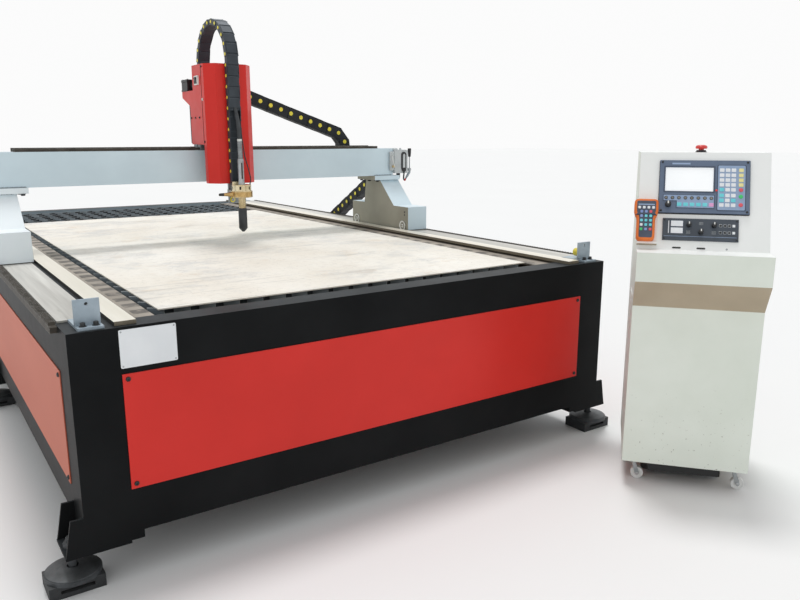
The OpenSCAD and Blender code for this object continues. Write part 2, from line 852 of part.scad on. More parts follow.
// Which way a zigzag leans at its turns
function zigzag_side(k) = k % 2 == 0 ? 1 : -1;
module slats() color("#3a3d40") placed() {
    step = slat_l / zigzag_n;
    swing = (zigzag_w - slat_t) / 2;
    half = slat_t / 2 * norm([step, 2 * swing]) / step;
    first = (frame_l - (slat_count - 1) * slat_pitch) / 2;
    for (i = [0:slat_count - 1])
        translate([leg_w + slat_in, first + i * slat_pitch, slat_z]) linear_extrude(slat_h) polygon(concat(
            [for (k = [0:zigzag_n]) [k * step, zigzag_side(k) * swing + half]],
            [for (k = [zigzag_n:-1:0]) [k * step, zigzag_side(k) * swing - half]]
        ));
}
module slat_bearers() color("#45474a") placed() {
    reach = slat_l - 4 * bearer_w;
    for (i = [0:bearer_count - 1])
        translate([
            leg_w + slat_in + 1.5 * bearer_w + reach * i / (bearer_count - 1),
            end_beam_d + tray_t,
            bearer_z
        ])
            cube([bearer_w, bed_l - 2 * tray_t, bearer_h]);
    for (x = [leg_w, frame_w - leg_w - slat_in + side_ledge_gap])
        translate([x, end_beam_d + tray_t, slat_z + slat_h - side_ledge_drop - side_ledge_t])
            cube([slat_in - side_ledge_gap, bed_l - 2 * tray_t, side_ledge_t]);
}
module dross_tray() color("#8b857c") placed() difference() {
    rim = bearer_h * rim_share;
    translate([leg_w, end_beam_d, tray_z]) cube([bed_w, bed_l, tray_t + rim]);
    translate([leg_w + tray_t, end_beam_d + tray_t, bearer_z])
        cube([bed_w - 2 * tray_t, bed_l - 2 * tray_t, rim + overrun]);
}
module side_rails() color("#c9c9c4") placed() both_sides() {
    translate([strip_in, strip_end, frame_h]) cube([strip_w, frame_l - 2 * strip_end, strip_t]);
    translate([wheel_x + wheel_w + bar_gap, bar_end, frame_h])
        cube([bar_w, frame_l - 2 * bar_end, bar_h]);
}
module racks() color("#6d6f70") placed() both_sides()
    along_x(-rack_w, rack_w)
        translate([pinion_y, rack_tip - y_module])
            rack_outline(y_module, pinion_y - rack_end, frame_l - rack_end - pinion_y, rack_h);
module at_both_ends() {
    children();
    translate([0, frame_l, 0]) mirror([0, 1, 0]) children();
}
module stop_brackets() color("#a9b8c2") placed() both_sides() at_both_ends() difference() {
    translate([stop_x, stop_in, frame_h]) union() {
        cube([stop_w, stop_d, stop_t]);
        translate([0, stop_set, 0]) cube([stop_w, stop_t, stop_h]);
    }
    bar_y([stop_x + stop_w / 2, stop_in, frame_h + stop_h * stop_hole_share], stop_hole_d, stop_d);
}
module stop_bumpers() color("#d8b93a") placed() both_sides() at_both_ends()
    bar_y([stop_x + stop_w / 2, stop_face, frame_h + stop_h * bumper_z_share], bumper_d, bumper_l);
module work_sheet() color("#d9d2c4") placed()
    translate([(frame_w - sheet_w) / 2, sheet_y, frame_h - slat_drop]) cube([sheet_w, sheet_l, sheet_t]);

// Side view of one chain link between two pivots, its ends sloped for the bend
module link_outline(p, h, turn) {
    l = p / 2 - chain_gap / 2;
    e = l - h / 2 * tan(turn / 2);
    polygon([[-l, 0], [-e, h / 2], [e, h / 2], [l, 0], [e, -h / 2], [-e, -h / 2]]);
}
// The links of a chain in its own plane, extruded over their width
module chain(ends, angles, p, h, w, turn) {
    for (i = [0:len(angles) - 1])
        translate((ends[i] + ends[i + 1]) / 2) rotate(angles[i])
            linear_extrude(w, center = true) link_outline(p, h, turn);
}
module y_chain() color("#26282a") placed()
    translate([y_chain_x, 0, 0]) rotate([90, 0, 90])
        chain(y_ends, y_angles, link_p, link_h, link_w, y_turn);
module y_chain_tray() color("#1c1d1f") placed() {
    inner = y_chain_x - link_w / 2 - pass_gap;
    floor_z = y_low_z - link_h / 2 - slide_gap;
    wall = link_h * tray_wall_share;
    y0 = frame_l * y_tray_y_share;
    l = frame_l - y0;
    top = bed_z + panel_lap + hanger_h + pass_gap;
    translate([inner - chain_tray_t, y0, floor_z - chain_tray_t])
        cube([link_w + 2 * (pass_gap + chain_tray_t), l, chain_tray_t]);
    translate([inner - chain_tray_t, y0, floor_z]) cube([chain_tray_t, l, top - floor_z]);
    translate([inner + link_w + 2 * pass_gap, y0, floor_z]) cube([chain_tray_t, l, wall]);
    for (i = [0:hanger_count - 1])
        translate([frame_w, y0 + (l - hanger_l) * i / (hanger_count - 1), top - hanger_h])
            cube([inner - chain_tray_t - frame_w, hanger_l, hanger_h]);
}

module carriage_outline(inset) {
    s = box_l * pedestal_shares;
    low = box_z - (inset > 0 ? overrun : 0);
    polygon([
        [inset, low], [box_l - inset, low], [box_l - inset, pedestal_z - inset],
        [s[3] - inset, pedestal_z - inset], [s[2] - inset, flange_z - inset],
        [s[1] + inset, flange_z - inset], [s[0] + inset, pedestal_z - inset],
        [inset, pedestal_z - inset]
    ]);
}
module carriage() {
    difference() {
        translate([0, box_y, 0]) along_x(-box_out, box_w) carriage_outline(0);
        translate([0, box_y, 0]) along_x(box_t - box_out, box_w - 2 * box_t) carriage_outline(box_t);
        for (y = wheel_ys)
            bar_x([wheel_x - wheel_gap, y, wheel_z], 2 * (wheel_r + wheel_gap), wheel_w + wheel_proud);
        bar_x([-box_out - overrun, pinion_y, pinion_z], shaft_d + 2 * pass_gap, box_t + 2 * overrun);
    }
    for (y = wheel_ys)
        bar_x([box_t / 2 - box_out, y, wheel_z], axle_d,
            wheel_x + wheel_w + axle_tail + box_out - box_t / 2);
    translate([-box_out, flange_y, flange_z]) cube([flange_w, flange_l, flange_t]);
}
module left_carriage() color("#b9c6cd") placed() carriage();
module right_carriage() color("#b9c6cd") placed() {
    right_side() carriage();
    reach = y_chain_x + link_w / 2 - frame_w + box_t;
    y0 = flange_y + flange_l;
    translate([frame_w + box_out - box_t, y0 - flange_lap, flange_z])
        cube([reach - box_out, flange_lap + y_bracket_l, flange_t / 2]);
    translate([y_chain_x - link_w / 2, y0 + y_bracket_l - box_t, y_chain_z - link_h / 2])
        cube([link_w, box_t, link_h]);
}
module wheel(y) bar_x_ring([wheel_x, y, wheel_z], 2 * wheel_r, axle_d + 2 * run_fit, wheel_w);
module bar_x_ring(at, d, bore, l) difference() {
    bar_x(at, d, l);
    bar_x(at - [overrun, 0, 0], bore, l + 2 * overrun);
}
module front_wheels() color("#d5d5d0") placed() both_sides() wheel(wheel_ys[0]);
module rear_wheels() color("#d5d5d0") placed() both_sides() wheel(wheel_ys[1]);
module drive_pinions() color("#77797a") placed() both_sides() {
    translate([-rack_w, pinion_y, pinion_z]) rotate([90, 0, 90]) linear_extrude(pinion_w)
        rotate(-90) gear_outline(y_module, y_teeth);
    bar_x([-rack_w, pinion_y, pinion_z], shaft_d, rack_w - box_out + box_t + motor_l * shaft_share);
}
module gantry_motors() color("#2b2d30") placed() both_sides() difference() {
    translate([box_t - box_out, pinion_y - motor_w / 2, pinion_z - motor_w / 2])
        cube([motor_l, motor_w, motor_w]);
    bar_x([-box_out, pinion_y, pinion_z], shaft_d + 2 * run_fit, box_t + motor_l * shaft_share + overrun);
}
module gantry_beam() color("#b9c6cd") placed() {
    tube([beam_x, beam_y, beam_z], [cross_beam_l, cross_beam, cross_beam], 0, cross_beam_t);
    for (x = [beam_x - cap_t, beam_x + cross_beam_l])
        translate([x, beam_y, beam_z]) cube([cap_t, cross_beam, cross_beam]);
}
module x_guides() color("#5f6266") placed() {
    for (s = rail_shares)
        translate([beam_x + rail_end, beam_y + cross_beam * s - rail_w / 2, beam_top])
            cube([rail_l, rail_w, rail_h]);
    translate([x_drive_x, x_rack_y + x_rack_w + root_share * x_module, beam_top])
        linear_extrude(x_rack_h)
            rack_outline(x_module, x_drive_x - beam_x - rail_end,
                beam_x + cross_beam_l - rail_end - x_drive_x, x_rack_w);
}
module x_chain() color("#26282a") placed()
    translate([0, x_chain_y, 0]) rotate([90, 0, 0])
        chain(x_ends, x_angles, link_p, link_h, link_w, x_turn);
module x_chain_tray() color("#b9c6cd") placed() {
    x0 = head_x + cover_w / 2;
    l = beam_x + cross_beam_l - x0;
    floor_z = x_low_z - link_h / 2 - slide_gap;
    inner = x_chain_y - link_w / 2 - pass_gap;
    wall = link_h * tray_wall_share;
    translate([x0, beam_y + cross_beam, floor_z - chain_tray_t])
        cube([l, inner + link_w + 2 * pass_gap + chain_tray_t - beam_y - cross_beam, chain_tray_t]);
    for (y = [inner - chain_tray_t, inner + link_w + 2 * pass_gap])
        translate([x0, y, floor_z]) cube([l, chain_tray_t, wall]);
}

module oil_pump() color("#c3c9cb") placed() {
    translate([pump_x, pump_y, pump_z]) cube([mount_t, pump_d + mount_lap, pump_h]);
    translate([pump_x, pump_y, pump_z]) cube([mount_t + pump_w, pump_d, pump_h]);
    translate([pump_x + mount_t + pump_w / 2, pump_y + pump_d / 2, pump_z - nipple_l])
        cylinder(d = nipple_d, h = nipple_l + nipple_d / 2);
    translate([pump_end - ear_t / 2, pivot_y, pivot_z - hub_d / 2])
        cube([pivot_out + ear_t / 2, ear_t, hub_d]);
    bar_y([pivot_x, pivot_y, pivot_z], hub_d, ear_t);
    bar_y([pivot_x, pivot_y - slide_gap - hub_l - pin_tail, pivot_z], pivot_d,
        slide_gap + hub_l + pin_tail + ear_t / 2);
}
module oil_pump_lever() color("#b5b9bb") placed() {
    y0 = pivot_y - slide_gap - hub_l;
    difference() {
        bar_y([pivot_x, y0, pivot_z], hub_d, hub_l);
        bar_y([pivot_x, y0 - overrun, pivot_z], pivot_d + 2 * run_fit, hub_l + 2 * overrun);
    }
    translate([pivot_x, y0 + hub_l / 2, pivot_z + (hub_d + pivot_d) / 4])
        cylinder(d = lever_d, h = lever_l - (hub_d + pivot_d) / 4);
    translate([pivot_x, y0 + hub_l / 2, pivot_z + lever_l * (1 - grip_share)])
        cylinder(d = grip_d, h = lever_l * grip_share);
}

module head_plate() color("#8f979b") placed() {
    inner = cover_w - 2 * cover_t;
    plate_w = cover_w * plate_w_share;
    translate([head_x - inner / 2, plate_y, saddle_z])
        cube([inner, seam_y + box_back - cover_t - plate_y, saddle_t]);
    translate([head_x - plate_w / 2, plate_y, plate_z]) cube([plate_w, plate_t, plate_h]);
    for (s = rail_shares, e = [-block_off_share, block_off_share])
        translate([head_x + cover_w * e, beam_y + cross_beam * s, beam_top]) difference() {
            translate([-block_l / 2, -block_wide / 2, block_lift])
                cube([block_l, block_wide, saddle_rise - block_lift]);
            translate([-block_l / 2 - overrun, -rail_w / 2 - slide_gap, 0])
                cube([block_l + 2 * overrun, rail_w + 2 * slide_gap, rail_h + slide_gap]);
        }
}
// Plan of the head cover, inset by its wall
function cover_plan(t, back) = [
    [t - cover_w / 2, back],
    [t - cover_w / 2, cover_slope + t * (cover_slant - cover_slope) / cover_corner],
    [-cover_flat / 2 + t * (cover_slant - cover_corner) / cover_slope, t],
    [cover_flat / 2 - t * (cover_slant - cover_corner) / cover_slope, t],
    [cover_w / 2 - t, cover_slope + t * (cover_slant - cover_slope) / cover_corner],
    [cover_w / 2 - t, back]
];
module head_cover() color("#d8352b") placed() translate([head_x, cover_y, cover_z]) difference() {
    linear_extrude(cover_h) polygon(cover_plan(0, cover_d));
    translate([0, 0, -overrun])
        linear_extrude(cover_h - cover_t + overrun) polygon(cover_plan(cover_t, cover_d + overrun));
}
// Side view of the motor box, inset by its wall and run out at its open sides
function box_profile(t, run) = [
    [seam_y - run, saddle_z - run],
    [seam_y + box_back - t, saddle_z - run],
    [seam_y + box_back - t, saddle_z + box_step + t],
    [seam_y + ledge_back - t, saddle_z + ledge_low + t],
    [seam_y + ledge_back - t, ledge_z - t],
    [seam_y + tower_back - t, ledge_z - t],
    [seam_y + tower_back - t, cover_top - t],
    [seam_y - run, cover_top - t]
];
module motor_box() color("#d8352b") placed() {
    difference() {
        along_x(head_x - cover_w / 2, cover_w) polygon(box_profile(0, 0));
        along_x(head_x - cover_w / 2 + cover_t, cover_w - 2 * cover_t)
            polygon(box_profile(cover_t, overrun));
        translate([x_drive_x, x_drive_y, saddle_z])
            cylinder(d = reducer_d + 2 * pass_gap, h = ledge_rise + overrun);
    }
    translate([head_x - head_link_w / 2, z_end[0] - head_link_h / 2, ledge_z])
        cube([head_link_w, head_link_h, z_end[1] - chain_gap - ledge_z]);
    translate([head_x + cover_w / 2, x_chain_y + link_w / 2 - x_plate_l, saddle_z + ledge_low])
        cube([x_plate_t, x_plate_l, x_chain_z + link_h / 2 - saddle_z - ledge_low]);
}
module x_motor() color("#1b1c1e") placed() difference() {
    union() {
        translate([x_drive_x - x_motor_w / 2, x_drive_y - x_motor_w / 2, ledge_z])
            cube([x_motor_w, x_motor_w, x_motor_h]);
        translate([x_drive_x, x_drive_y, saddle_z + reducer_lift])
            cylinder(d = reducer_d, h = ledge_rise - reducer_lift + overrun);
        bar_y([x_drive_x, x_drive_y - x_motor_w / 2 - plug_l, ledge_z + x_motor_h / 2],
            plug_d, plug_l + overrun);
    }
    translate([x_drive_x, x_drive_y, saddle_z])
        cylinder(d = shaft_d + 2 * run_fit, h = reducer_lift + x_shaft_l + pass_gap);
}
module x_pinion() color("#77797a") placed() translate([x_drive_x, x_drive_y, beam_top + pinion_gap]) {
    linear_extrude(x_rack_h - pinion_gap) rotate(-90) gear_outline(x_module, x_teeth);
    cylinder(d = shaft_d, h = saddle_rise - pinion_gap + reducer_lift + x_shaft_l);
}
module z_drive() color("#5f6266") placed() {
    for (z = [plate_z, z_motor_z - bearing_t]) difference() {
        translate([head_x - lift_w / 2, plate_y - bearing_d, z]) cube([lift_w, bearing_d, bearing_t]);
        translate([head_x, z_screw_y, z - overrun])
            cylinder(d = screw_rod_d + 2 * run_fit, h = bearing_t + 2 * overrun);
    }
    for (e = [-z_rail_share, z_rail_share])
        translate([head_x + lift_w * e - rail_w / 2, z_rail_y, plate_z + bearing_t])
            cube([rail_w, rail_h, z_motor_z - plate_z - 2 * bearing_t]);
    difference() {
        translate([head_x - z_motor_w / 2, z_screw_y - z_motor_w / 2, z_motor_z])
            cube([z_motor_w, z_motor_w, z_motor_h]);
        translate([head_x, z_screw_y, z_motor_z - overrun])
            cylinder(d = screw_rod_d + 2 * run_fit, h = z_bore + overrun);
    }
}
module z_screw() color("#b5b9bb") placed()
    translate([head_x, z_screw_y, plate_z])
        cylinder(d = screw_rod_d, h = z_motor_z + z_bore - pass_gap - plate_z);
module z_chain() color("#3c434b") placed()
    translate([head_x, 0, 0]) rotate([90, 0, 90])
        chain(z_ends, z_angles, head_link_p, head_link_h, head_link_w, 180 / (z_bend + 1));
module lift_slide() color("#8f979b") placed() {
    block_d_y = plate_y - block_lift - lift_block_y;
    nut_w = lift_w * nut_w_share;
    translate([head_x - lift_w / 2, lift_y, lift_z]) cube([lift_w, lift_t, lift_h]);
    translate([head_x + lift_w * tongue_shares[0], lift_y, cover_z - tongue_drop])
        cube([lift_w * (tongue_shares[1] - tongue_shares[0]), lift_t, lift_z - cover_z + tongue_drop]);
    for (s = lift_block_shares, e = [-z_rail_share, z_rail_share])
        translate([head_x + lift_w * e, lift_block_y, lift_z + lift_h * s]) difference() {
            translate([-block_wide / 2, 0, 0]) cube([block_wide, block_d_y, block_l]);
            translate([-rail_w / 2 - slide_gap, z_rail_y - slide_gap - lift_block_y, -overrun])
                cube([rail_w + 2 * slide_gap, block_d_y, block_l + 2 * overrun]);
        }
    difference() {
        translate([head_x - nut_w / 2, lift_block_y, lift_z + lift_h * nut_z_share])
            cube([nut_w, block_d_y, lift_h * nut_h_share]);
        translate([head_x, z_screw_y, lift_z])
            cylinder(d = screw_rod_d + 2 * run_fit, h = lift_h);
    }
}

module at_torch(z) translate([torch_ax, torch_ay, z]) children();
module torch_holder() color("#c9a24a") placed() difference() {
    upper_r = collar_d * upper_ring_share / 2;
    union() {
        at_torch(ring_z) cylinder(d = collar_d, h = ring_h);
        difference() {
            at_torch(ring_z + ring_h) cylinder(r = upper_r, h = ring_h);
            for (i = [0:ring_slots - 1]) at_torch(ring_z + ring_h) rotate(i * 360 / ring_slots)
                translate([
                    upper_r - collar_d * ring_slot_shares[1],
                    -collar_d * ring_slot_shares[0] / 2,
                    ring_h * ring_slot_shares[2] / 2
                ])
                    cube([collar_d, collar_d * ring_slot_shares[0], ring_h * ring_slot_shares[2]]);
        }
        translate([torch_ax - arm_w / 2, torch_ay, ring_z]) cube([arm_w, lift_y - torch_ay, ring_h]);
        translate([head_x - head_link_w / 2, z_chain_y - head_link_h / 2, ring_z + ring_h])
            cube([head_link_w, head_link_h, ring_h + z_foot_h]);
        bar_x([torch_ax - collar_d / 2 - prong_l, torch_ay, ring_z + ring_h / 2],
            prong_d, prong_l + collar_d / 4);
    }
    at_torch(ring_z - overrun) cylinder(d = stem_d + 2 * clamp_play, h = 2 * ring_h + 2 * overrun);
}
module torch_body() color("#b98b3c") placed() {
    at_torch(stem_z) cylinder(d = stem_d, h = tube_z - stem_z);
    at_torch(tube_z) cylinder(d = tube_d, h = tube_l);
}
module torch_tip() color("#3b3d40") placed() at_torch(tip_z) rotate_extrude() polygon([
    [0, 0], [tip_d * nozzle_share / 2, 0], [tip_d / 2, tip_l * tip_nose_share],
    [tip_d / 2, tip_l], [0, tip_l]
]);
module torch_hose() color("#8a8d90") placed() {
    rib_p = hose_l / hose_ribs;
    low_r = hose_d * rib_share / 2;
    bore_r = hose_d * hose_bore_share / 2;
    at_torch(hose_z) rotate_extrude() polygon(concat(
        [[bore_r, hose_l], [bore_r, 0]],
        [
            for (i = [0:hose_ribs - 1], k = [[low_r, 0], [low_r, 1 / 4], [hose_d / 2, 1 / 2], [low_r, 3 / 4]])
                [k[0], (i + k[1]) * rib_p]
        ],
        [[low_r, hose_l]]
    ));
    at_torch(hose_top) cylinder(d = ferrule_d, h = ferrule_h);
    lead_end = [torch_ax, z_chain_y - head_link_h / 2 - pass_gap - lead_d / 2, hose_top + lead_rise];
    rod([torch_ax, torch_ay, hose_top + ferrule_h / 2], lead_end, lead_d);
    wire_end = [
        torch_ax + wire_out[0] * wire_in_share,
        z_chain_y - head_link_h / 2 - pass_gap - wire_d / 2,
        tube_z + wire_rise
    ];
    rod([torch_ax + wire_out[0], torch_ay + wire_out[1], tube_z + pass_gap / 2], wire_end, wire_d);
}

module in_console() translate([console_x, console_y, 0]) rotate([0, 0, console_yaw]) children();
module on_slope() in_console() translate([0, slope_y, slope_z]) rotate([slope_a, 0, 0]) children();
// Side view of the console, inset by its wall and let out behind by the back panel's thickness
function console_profile(t, behind) = [
    [t, console_lift + t],
    [t, low_front_z + t * lip_turn_share],
    [t - lip_out, lip_z + t * lip_turn_share],
    [t - lip_out, slope_z - t],
    [slope_y + t * face_turn_share, slope_z - t],
    [top_back + t * face_turn_share, console_h - t],
    [console_d + behind, console_h - t],
    [console_d + behind, console_lift + t]
];
module at_button() translate([
    console_w * button_u_share, top_back + (console_d - top_back) * button_back_share, console_h
]) children();
module console_cabinet() color("#d3dad0") placed() {
    stem_d_b = stop_button_d * stem_share;
    difference() {
        union() {
            in_console() difference() {
                along_x(-console_w / 2, console_w) polygon(console_profile(0, back_t));
                along_x(console_t - console_w / 2, console_w - 2 * console_t)
                    polygon(console_profile(console_t, 0));
            }
            in_console() at_button() translate([0, 0, -console_t / 2])
                cylinder(
                    d = stop_button_d * collar_share,
                    h = button_rise - button_travel - slide_gap + console_t / 2
                );
            on_slope() translate([-console_w / 2, pendant_y, -console_t / 2])
                cube([pendant_w - pendant_over, pendant_l, cradle_t - slide_gap + console_t / 2]);
            on_slope() translate([-console_w / 2, pendant_y - cradle_t, -console_t / 2])
                cube([pendant_w - pendant_over, cradle_t - slide_gap, cradle_h + console_t / 2]);
        }
        in_console() at_button() translate([0, 0, -console_t - overrun])
            cylinder(d = stem_d_b + 2 * run_fit, h = console_t + button_rise + 2 * overrun);
        for (u = caster_us) in_console() translate([u, caster_front, console_lift - overrun])
            cylinder(d = stud_d + 2 * run_fit, h = console_t + 2 * overrun);
        on_slope() translate([
            bezel_x + module_in - module_play, bezel_y + module_in - module_play, -console_t * 2
        ])
            cube([
                bezel_w - 2 * (module_in - module_play), bezel_h - 2 * (module_in - module_play),
                console_t * 2 + overrun
            ]);
    }
    in_console() tube(
        [plinth_in - console_w / 2, plinth_set, console_lift - plinth_h],
        [console_w - 2 * plinth_in, console_d - 2 * plinth_set, plinth_h + console_t / 2], 2, console_t
    );
}
module console_drives() color("#35383b") placed() in_console() {
    w = console_w * drives_shares[0];
    d = console_d * drives_shares[1];
    for (i = [1:drive_count])
        translate([
            console_w * (i / (drive_count + 1) - 1 / 2) - w / 2, (console_d - d) / 2, console_lift + console_t
        ])
            cube([w, d, (low_front_z - console_lift) * drives_shares[2]]);
}
module at_dial() translate([
    bezel_x + bezel_w * dial_shares[0], bezel_y + bezel_h * dial_shares[1], bezel_t
]) children();
module at_screen() translate([
    bezel_x + bezel_w * screen_shares[0],
    bezel_y + bezel_h * screen_shares[1],
    bezel_t - screen_depth - screen_t
]) children();
module controller() color("#6e7f96") placed() on_slope() difference() {
    union() {
        translate([bezel_x, bezel_y, 0]) cube([bezel_w, bezel_h, bezel_t]);
        translate([bezel_x + module_in, bezel_y + module_in, -module_d])
            cube([bezel_w - 2 * module_in, bezel_h - 2 * module_in, module_d]);
    }
    at_screen() translate([-clamp_play, -clamp_play, 0])
        cube([screen_w + 2 * clamp_play, screen_h + 2 * clamp_play, screen_depth + screen_t + overrun]);
    at_dial() translate([0, 0, -dial_bore])
        cylinder(d = knob_stem_d + 2 * run_fit, h = dial_bore + overrun);
}
module controller_screen() color("#f4f6f7") placed() on_slope()
    at_screen() cube([screen_w, screen_h, screen_t]);
module controller_keys() color("#e6eaec") placed() on_slope() translate([bezel_x, bezel_y, bezel_t]) {
    pad = [pad_shares[2] * bezel_w, pad_shares[3] * bezel_h];
    row = [row_shares[2] * bezel_w, row_shares[3] * bezel_h];
    key = [pad[0] * key_w_share, bezel_h * key_h_share];
    translate([pad_shares[0] * bezel_w, pad_shares[1] * bezel_h, 0]) {
        cube([pad[0], pad[1], pad_t]);
        for (c = pad_column_shares, r = pad_row_shares)
            translate([pad[0] * c - key[0] / 2, pad[1] * r - key[1] / 2, 0])
                cube([key[0], key[1], pad_t + key_t]);
    }
    translate([row_shares[0] * bezel_w, row_shares[1] * bezel_h, 0]) {
        linear_extrude(pad_t) polygon([
            [row[0] * row_notch_share, 0], [row[0], 0], [row[0], row[1]],
            [0, row[1]], [0, row[1] / 2], [row[0] * row_notch_share, row[1] / 2]
        ]);
        for (i = [0:round_count - 1])
            translate([row[0] * (i + 1 / 2) / round_count, row[1] * 3 / 4, 0])
                cylinder(d = row[0] * round_share, h = pad_t + key_t);
        for (i = [0:square_count - 1])
            translate([
                row[0] * (row_notch_share + (1 - row_notch_share) * (i + 1 / 2) / square_count) - key[0] / 2,
                row[1] / 4 - key[1] / 2,
                0
            ])
                cube([key[0], key[1], pad_t + key_t]);
    }
}
module controller_knob() color("#232527") placed() on_slope() at_dial() {
    translate([0, 0, slide_gap]) cylinder(d = dial_d, h = dial_h);
    translate([0, 0, pass_gap - dial_bore])
        cylinder(d = knob_stem_d, h = dial_bore - pass_gap + slide_gap + overrun);
}
module at_knob(i) translate([
    thc_x + thc_w * knob_shares[i][0], thc_y + thc_h * knob_shares[i][1], 0
]) children();
module thc_panel() color("#3d434b") placed() on_slope() difference() {
    translate([thc_x, thc_y, 0]) cube([thc_w, thc_h, thc_t]);
    for (i = [0:len(knob_shares) - 1]) at_knob(i) translate([0, 0, -overrun])
        cylinder(d = knob_stem_d + 2 * run_fit, h = thc_t + 2 * overrun);
}
module thc_knob(i) on_slope() at_knob(i) {
    translate([0, 0, thc_t + slide_gap]) cylinder(d = knob_d, h = knob_h);
    translate([0, 0, slide_gap]) cylinder(d = knob_stem_d, h = thc_t + knob_h / 2);
}
module thc_knob_left() color("#232527") placed() thc_knob(0);
module thc_knob_middle() color("#232527") placed() thc_knob(1);
module thc_knob_right() color("#232527") placed() thc_knob(2);
module e_stop_button() color("#d02a25") placed() in_console() at_button() {
    translate([0, 0, button_rise]) cylinder(d = stop_button_d, h = button_h);
    translate([0, 0, -button_stem_in])
        cylinder(d = stop_button_d * stem_share, h = button_rise + button_stem_in + button_h / 2);
}
module pendant() color("#e8772e") placed() on_slope()
    translate([-console_w / 2 - pendant_over, pendant_y, cradle_t]) linear_extrude(pendant_t) {
        low = pendant_w * (1 - pendant_low_w_share);
        polygon([
            [low, 0], [pendant_w, 0], [pendant_w, pendant_l], [0, pendant_l],
            [0, pendant_l * pendant_waist_share], [low, pendant_l * pendant_waist_share - low]
        ]);
    }

// A caster's fork, its wheel trailing along the first axis
module caster_fork(trail, top_gap, stud) {
    translate([0, 0, caster_top]) cylinder(d = swivel_d, h = swivel_h - top_gap);
    translate([0, 0, caster_top]) cylinder(d = stud_d, h = swivel_h + stud);
    for (y = [-fork_w / 2, fork_w / 2 - fork_t]) along_y(y, fork_t) polygon([
        [-stud_d / 2, caster_top + swivel_h / 2], [stud_d / 2, caster_top + swivel_h / 2],
        [trail + caster_axle_d, caster_r], [trail, caster_r - caster_axle_d],
        [trail - caster_axle_d, caster_r]
    ]);
    bar_y([trail, -fork_w / 2, caster_r], caster_axle_d, fork_w);
}
module caster_wheel(trail) difference() {
    bar_y([trail, -caster_w / 2, caster_r], 2 * caster_r, caster_w);
    bar_y([trail, -caster_w / 2 - overrun, caster_r], caster_axle_d + 2 * run_fit, caster_w + 2 * overrun);
}
module at_front(i) in_console() translate([caster_us[i], caster_front, 0]) children();
module at_rear() for (u = caster_us)
    in_console() translate([u, console_d * caster_rear_share, 0]) rotate(90) children();
module left_caster() color("#9da2a4") placed() at_front(0) caster_fork(caster_trail, slide_gap, console_t);
module right_caster() color("#9da2a4") placed() at_front(1) caster_fork(caster_trail, slide_gap, console_t);
module left_caster_wheel() color("#e8eaea") placed() at_front(0) caster_wheel(caster_trail);
module right_caster_wheel() color("#e8eaea") placed() at_front(1) caster_wheel(caster_trail);
module rear_casters() color("#9da2a4") placed() at_rear() caster_fork(0, 0, 0);
module rear_caster_wheels() color("#e8eaea") placed() at_rear() caster_wheel(0);

table_frame();
levelling_feet();
foot_blocks();
front_panel();
side_panels();
frame_screws();
slats();
slat_bearers();
dross_tray();
side_rails();
racks();
stop_brackets();
stop_bumpers();
y_chain_tray();
y_chain();
work_sheet();
gantry_beam();
left_carriage();
right_carriage();
front_wheels();
rear_wheels();
drive_pinions();
gantry_motors();
x_guides();
x_chain_tray();
x_chain();
oil_pump();
oil_pump_lever();
head_plate();
head_cover();
motor_box();
x_motor();
x_pinion();
z_drive();
z_screw();
z_chain();
lift_slide();
torch_holder();
torch_body();
torch_tip();
torch_hose();
console_cabinet();
console_drives();
controller();
controller_screen();
controller_keys();
controller_knob();
thc_panel();
thc_knob_left();
thc_knob_middle();
thc_knob_right();
e_stop_button();
pendant();
left_caster();
right_caster();
left_caster_wheel();
right_caster_wheel();
rear_casters();
rear_caster_wheels();
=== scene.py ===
import math

import bmesh
import bpy
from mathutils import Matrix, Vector


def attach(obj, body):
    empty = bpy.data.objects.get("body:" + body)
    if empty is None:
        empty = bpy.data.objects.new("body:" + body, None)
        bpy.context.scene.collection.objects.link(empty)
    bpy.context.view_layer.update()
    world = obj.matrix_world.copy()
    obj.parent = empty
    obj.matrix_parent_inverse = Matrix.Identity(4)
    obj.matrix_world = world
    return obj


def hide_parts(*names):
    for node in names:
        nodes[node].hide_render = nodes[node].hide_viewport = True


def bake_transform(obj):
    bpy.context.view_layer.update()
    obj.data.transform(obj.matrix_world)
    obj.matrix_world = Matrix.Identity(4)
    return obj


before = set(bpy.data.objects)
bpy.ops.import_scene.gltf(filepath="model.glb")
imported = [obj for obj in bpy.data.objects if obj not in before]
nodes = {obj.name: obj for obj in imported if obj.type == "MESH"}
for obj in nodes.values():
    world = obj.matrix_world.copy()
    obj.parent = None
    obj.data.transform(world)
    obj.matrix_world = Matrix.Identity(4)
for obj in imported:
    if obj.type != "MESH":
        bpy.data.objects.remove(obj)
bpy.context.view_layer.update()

# Shapes are written in table millimetres: x to the right, y to the rear, z up
MM = 0.001
ORIGIN = (1130.386230, 1473.178709, 0.0)
UP, DOWN, LEFT, RIGHT, FRONT, BACK = (0, 0, 1), (0, 0, -1), (-1, 0, 0), (1, 0, 0), (0, -1, 0), (0, 1, 0)
FRAME_W, FRAME_L = 2080, 3700
FOOT_YS = (66, 1850, 3634)
HEAD_X, COVER_W, TORCH = 1040.0, 230, (1047.0, 1310.0)
HEAD_SIDES = ((HEAD_X - COVER_W / 2, LEFT), (HEAD_X + COVER_W / 2, RIGHT))
# Ways to place an x on the left and, mirrored, on the right, with the way to the inside
SIDES = ((1, lambda x: x), (-1, lambda x: FRAME_W - x))

# Camera, for an image of 800 by 600
CAMERA_AT = (-1.467186, -3.503979, 1.2524)
YAW, PITCH = math.radians(34.44), math.radians(12.39)
IMAGE_W, FOCAL, SENSOR = 800, 742.19, 36.0


def row(p):
    """Table millimetres to the row frame's metres."""
    return Vector([(p[i] - ORIGIN[i]) * MM for i in range(3)])


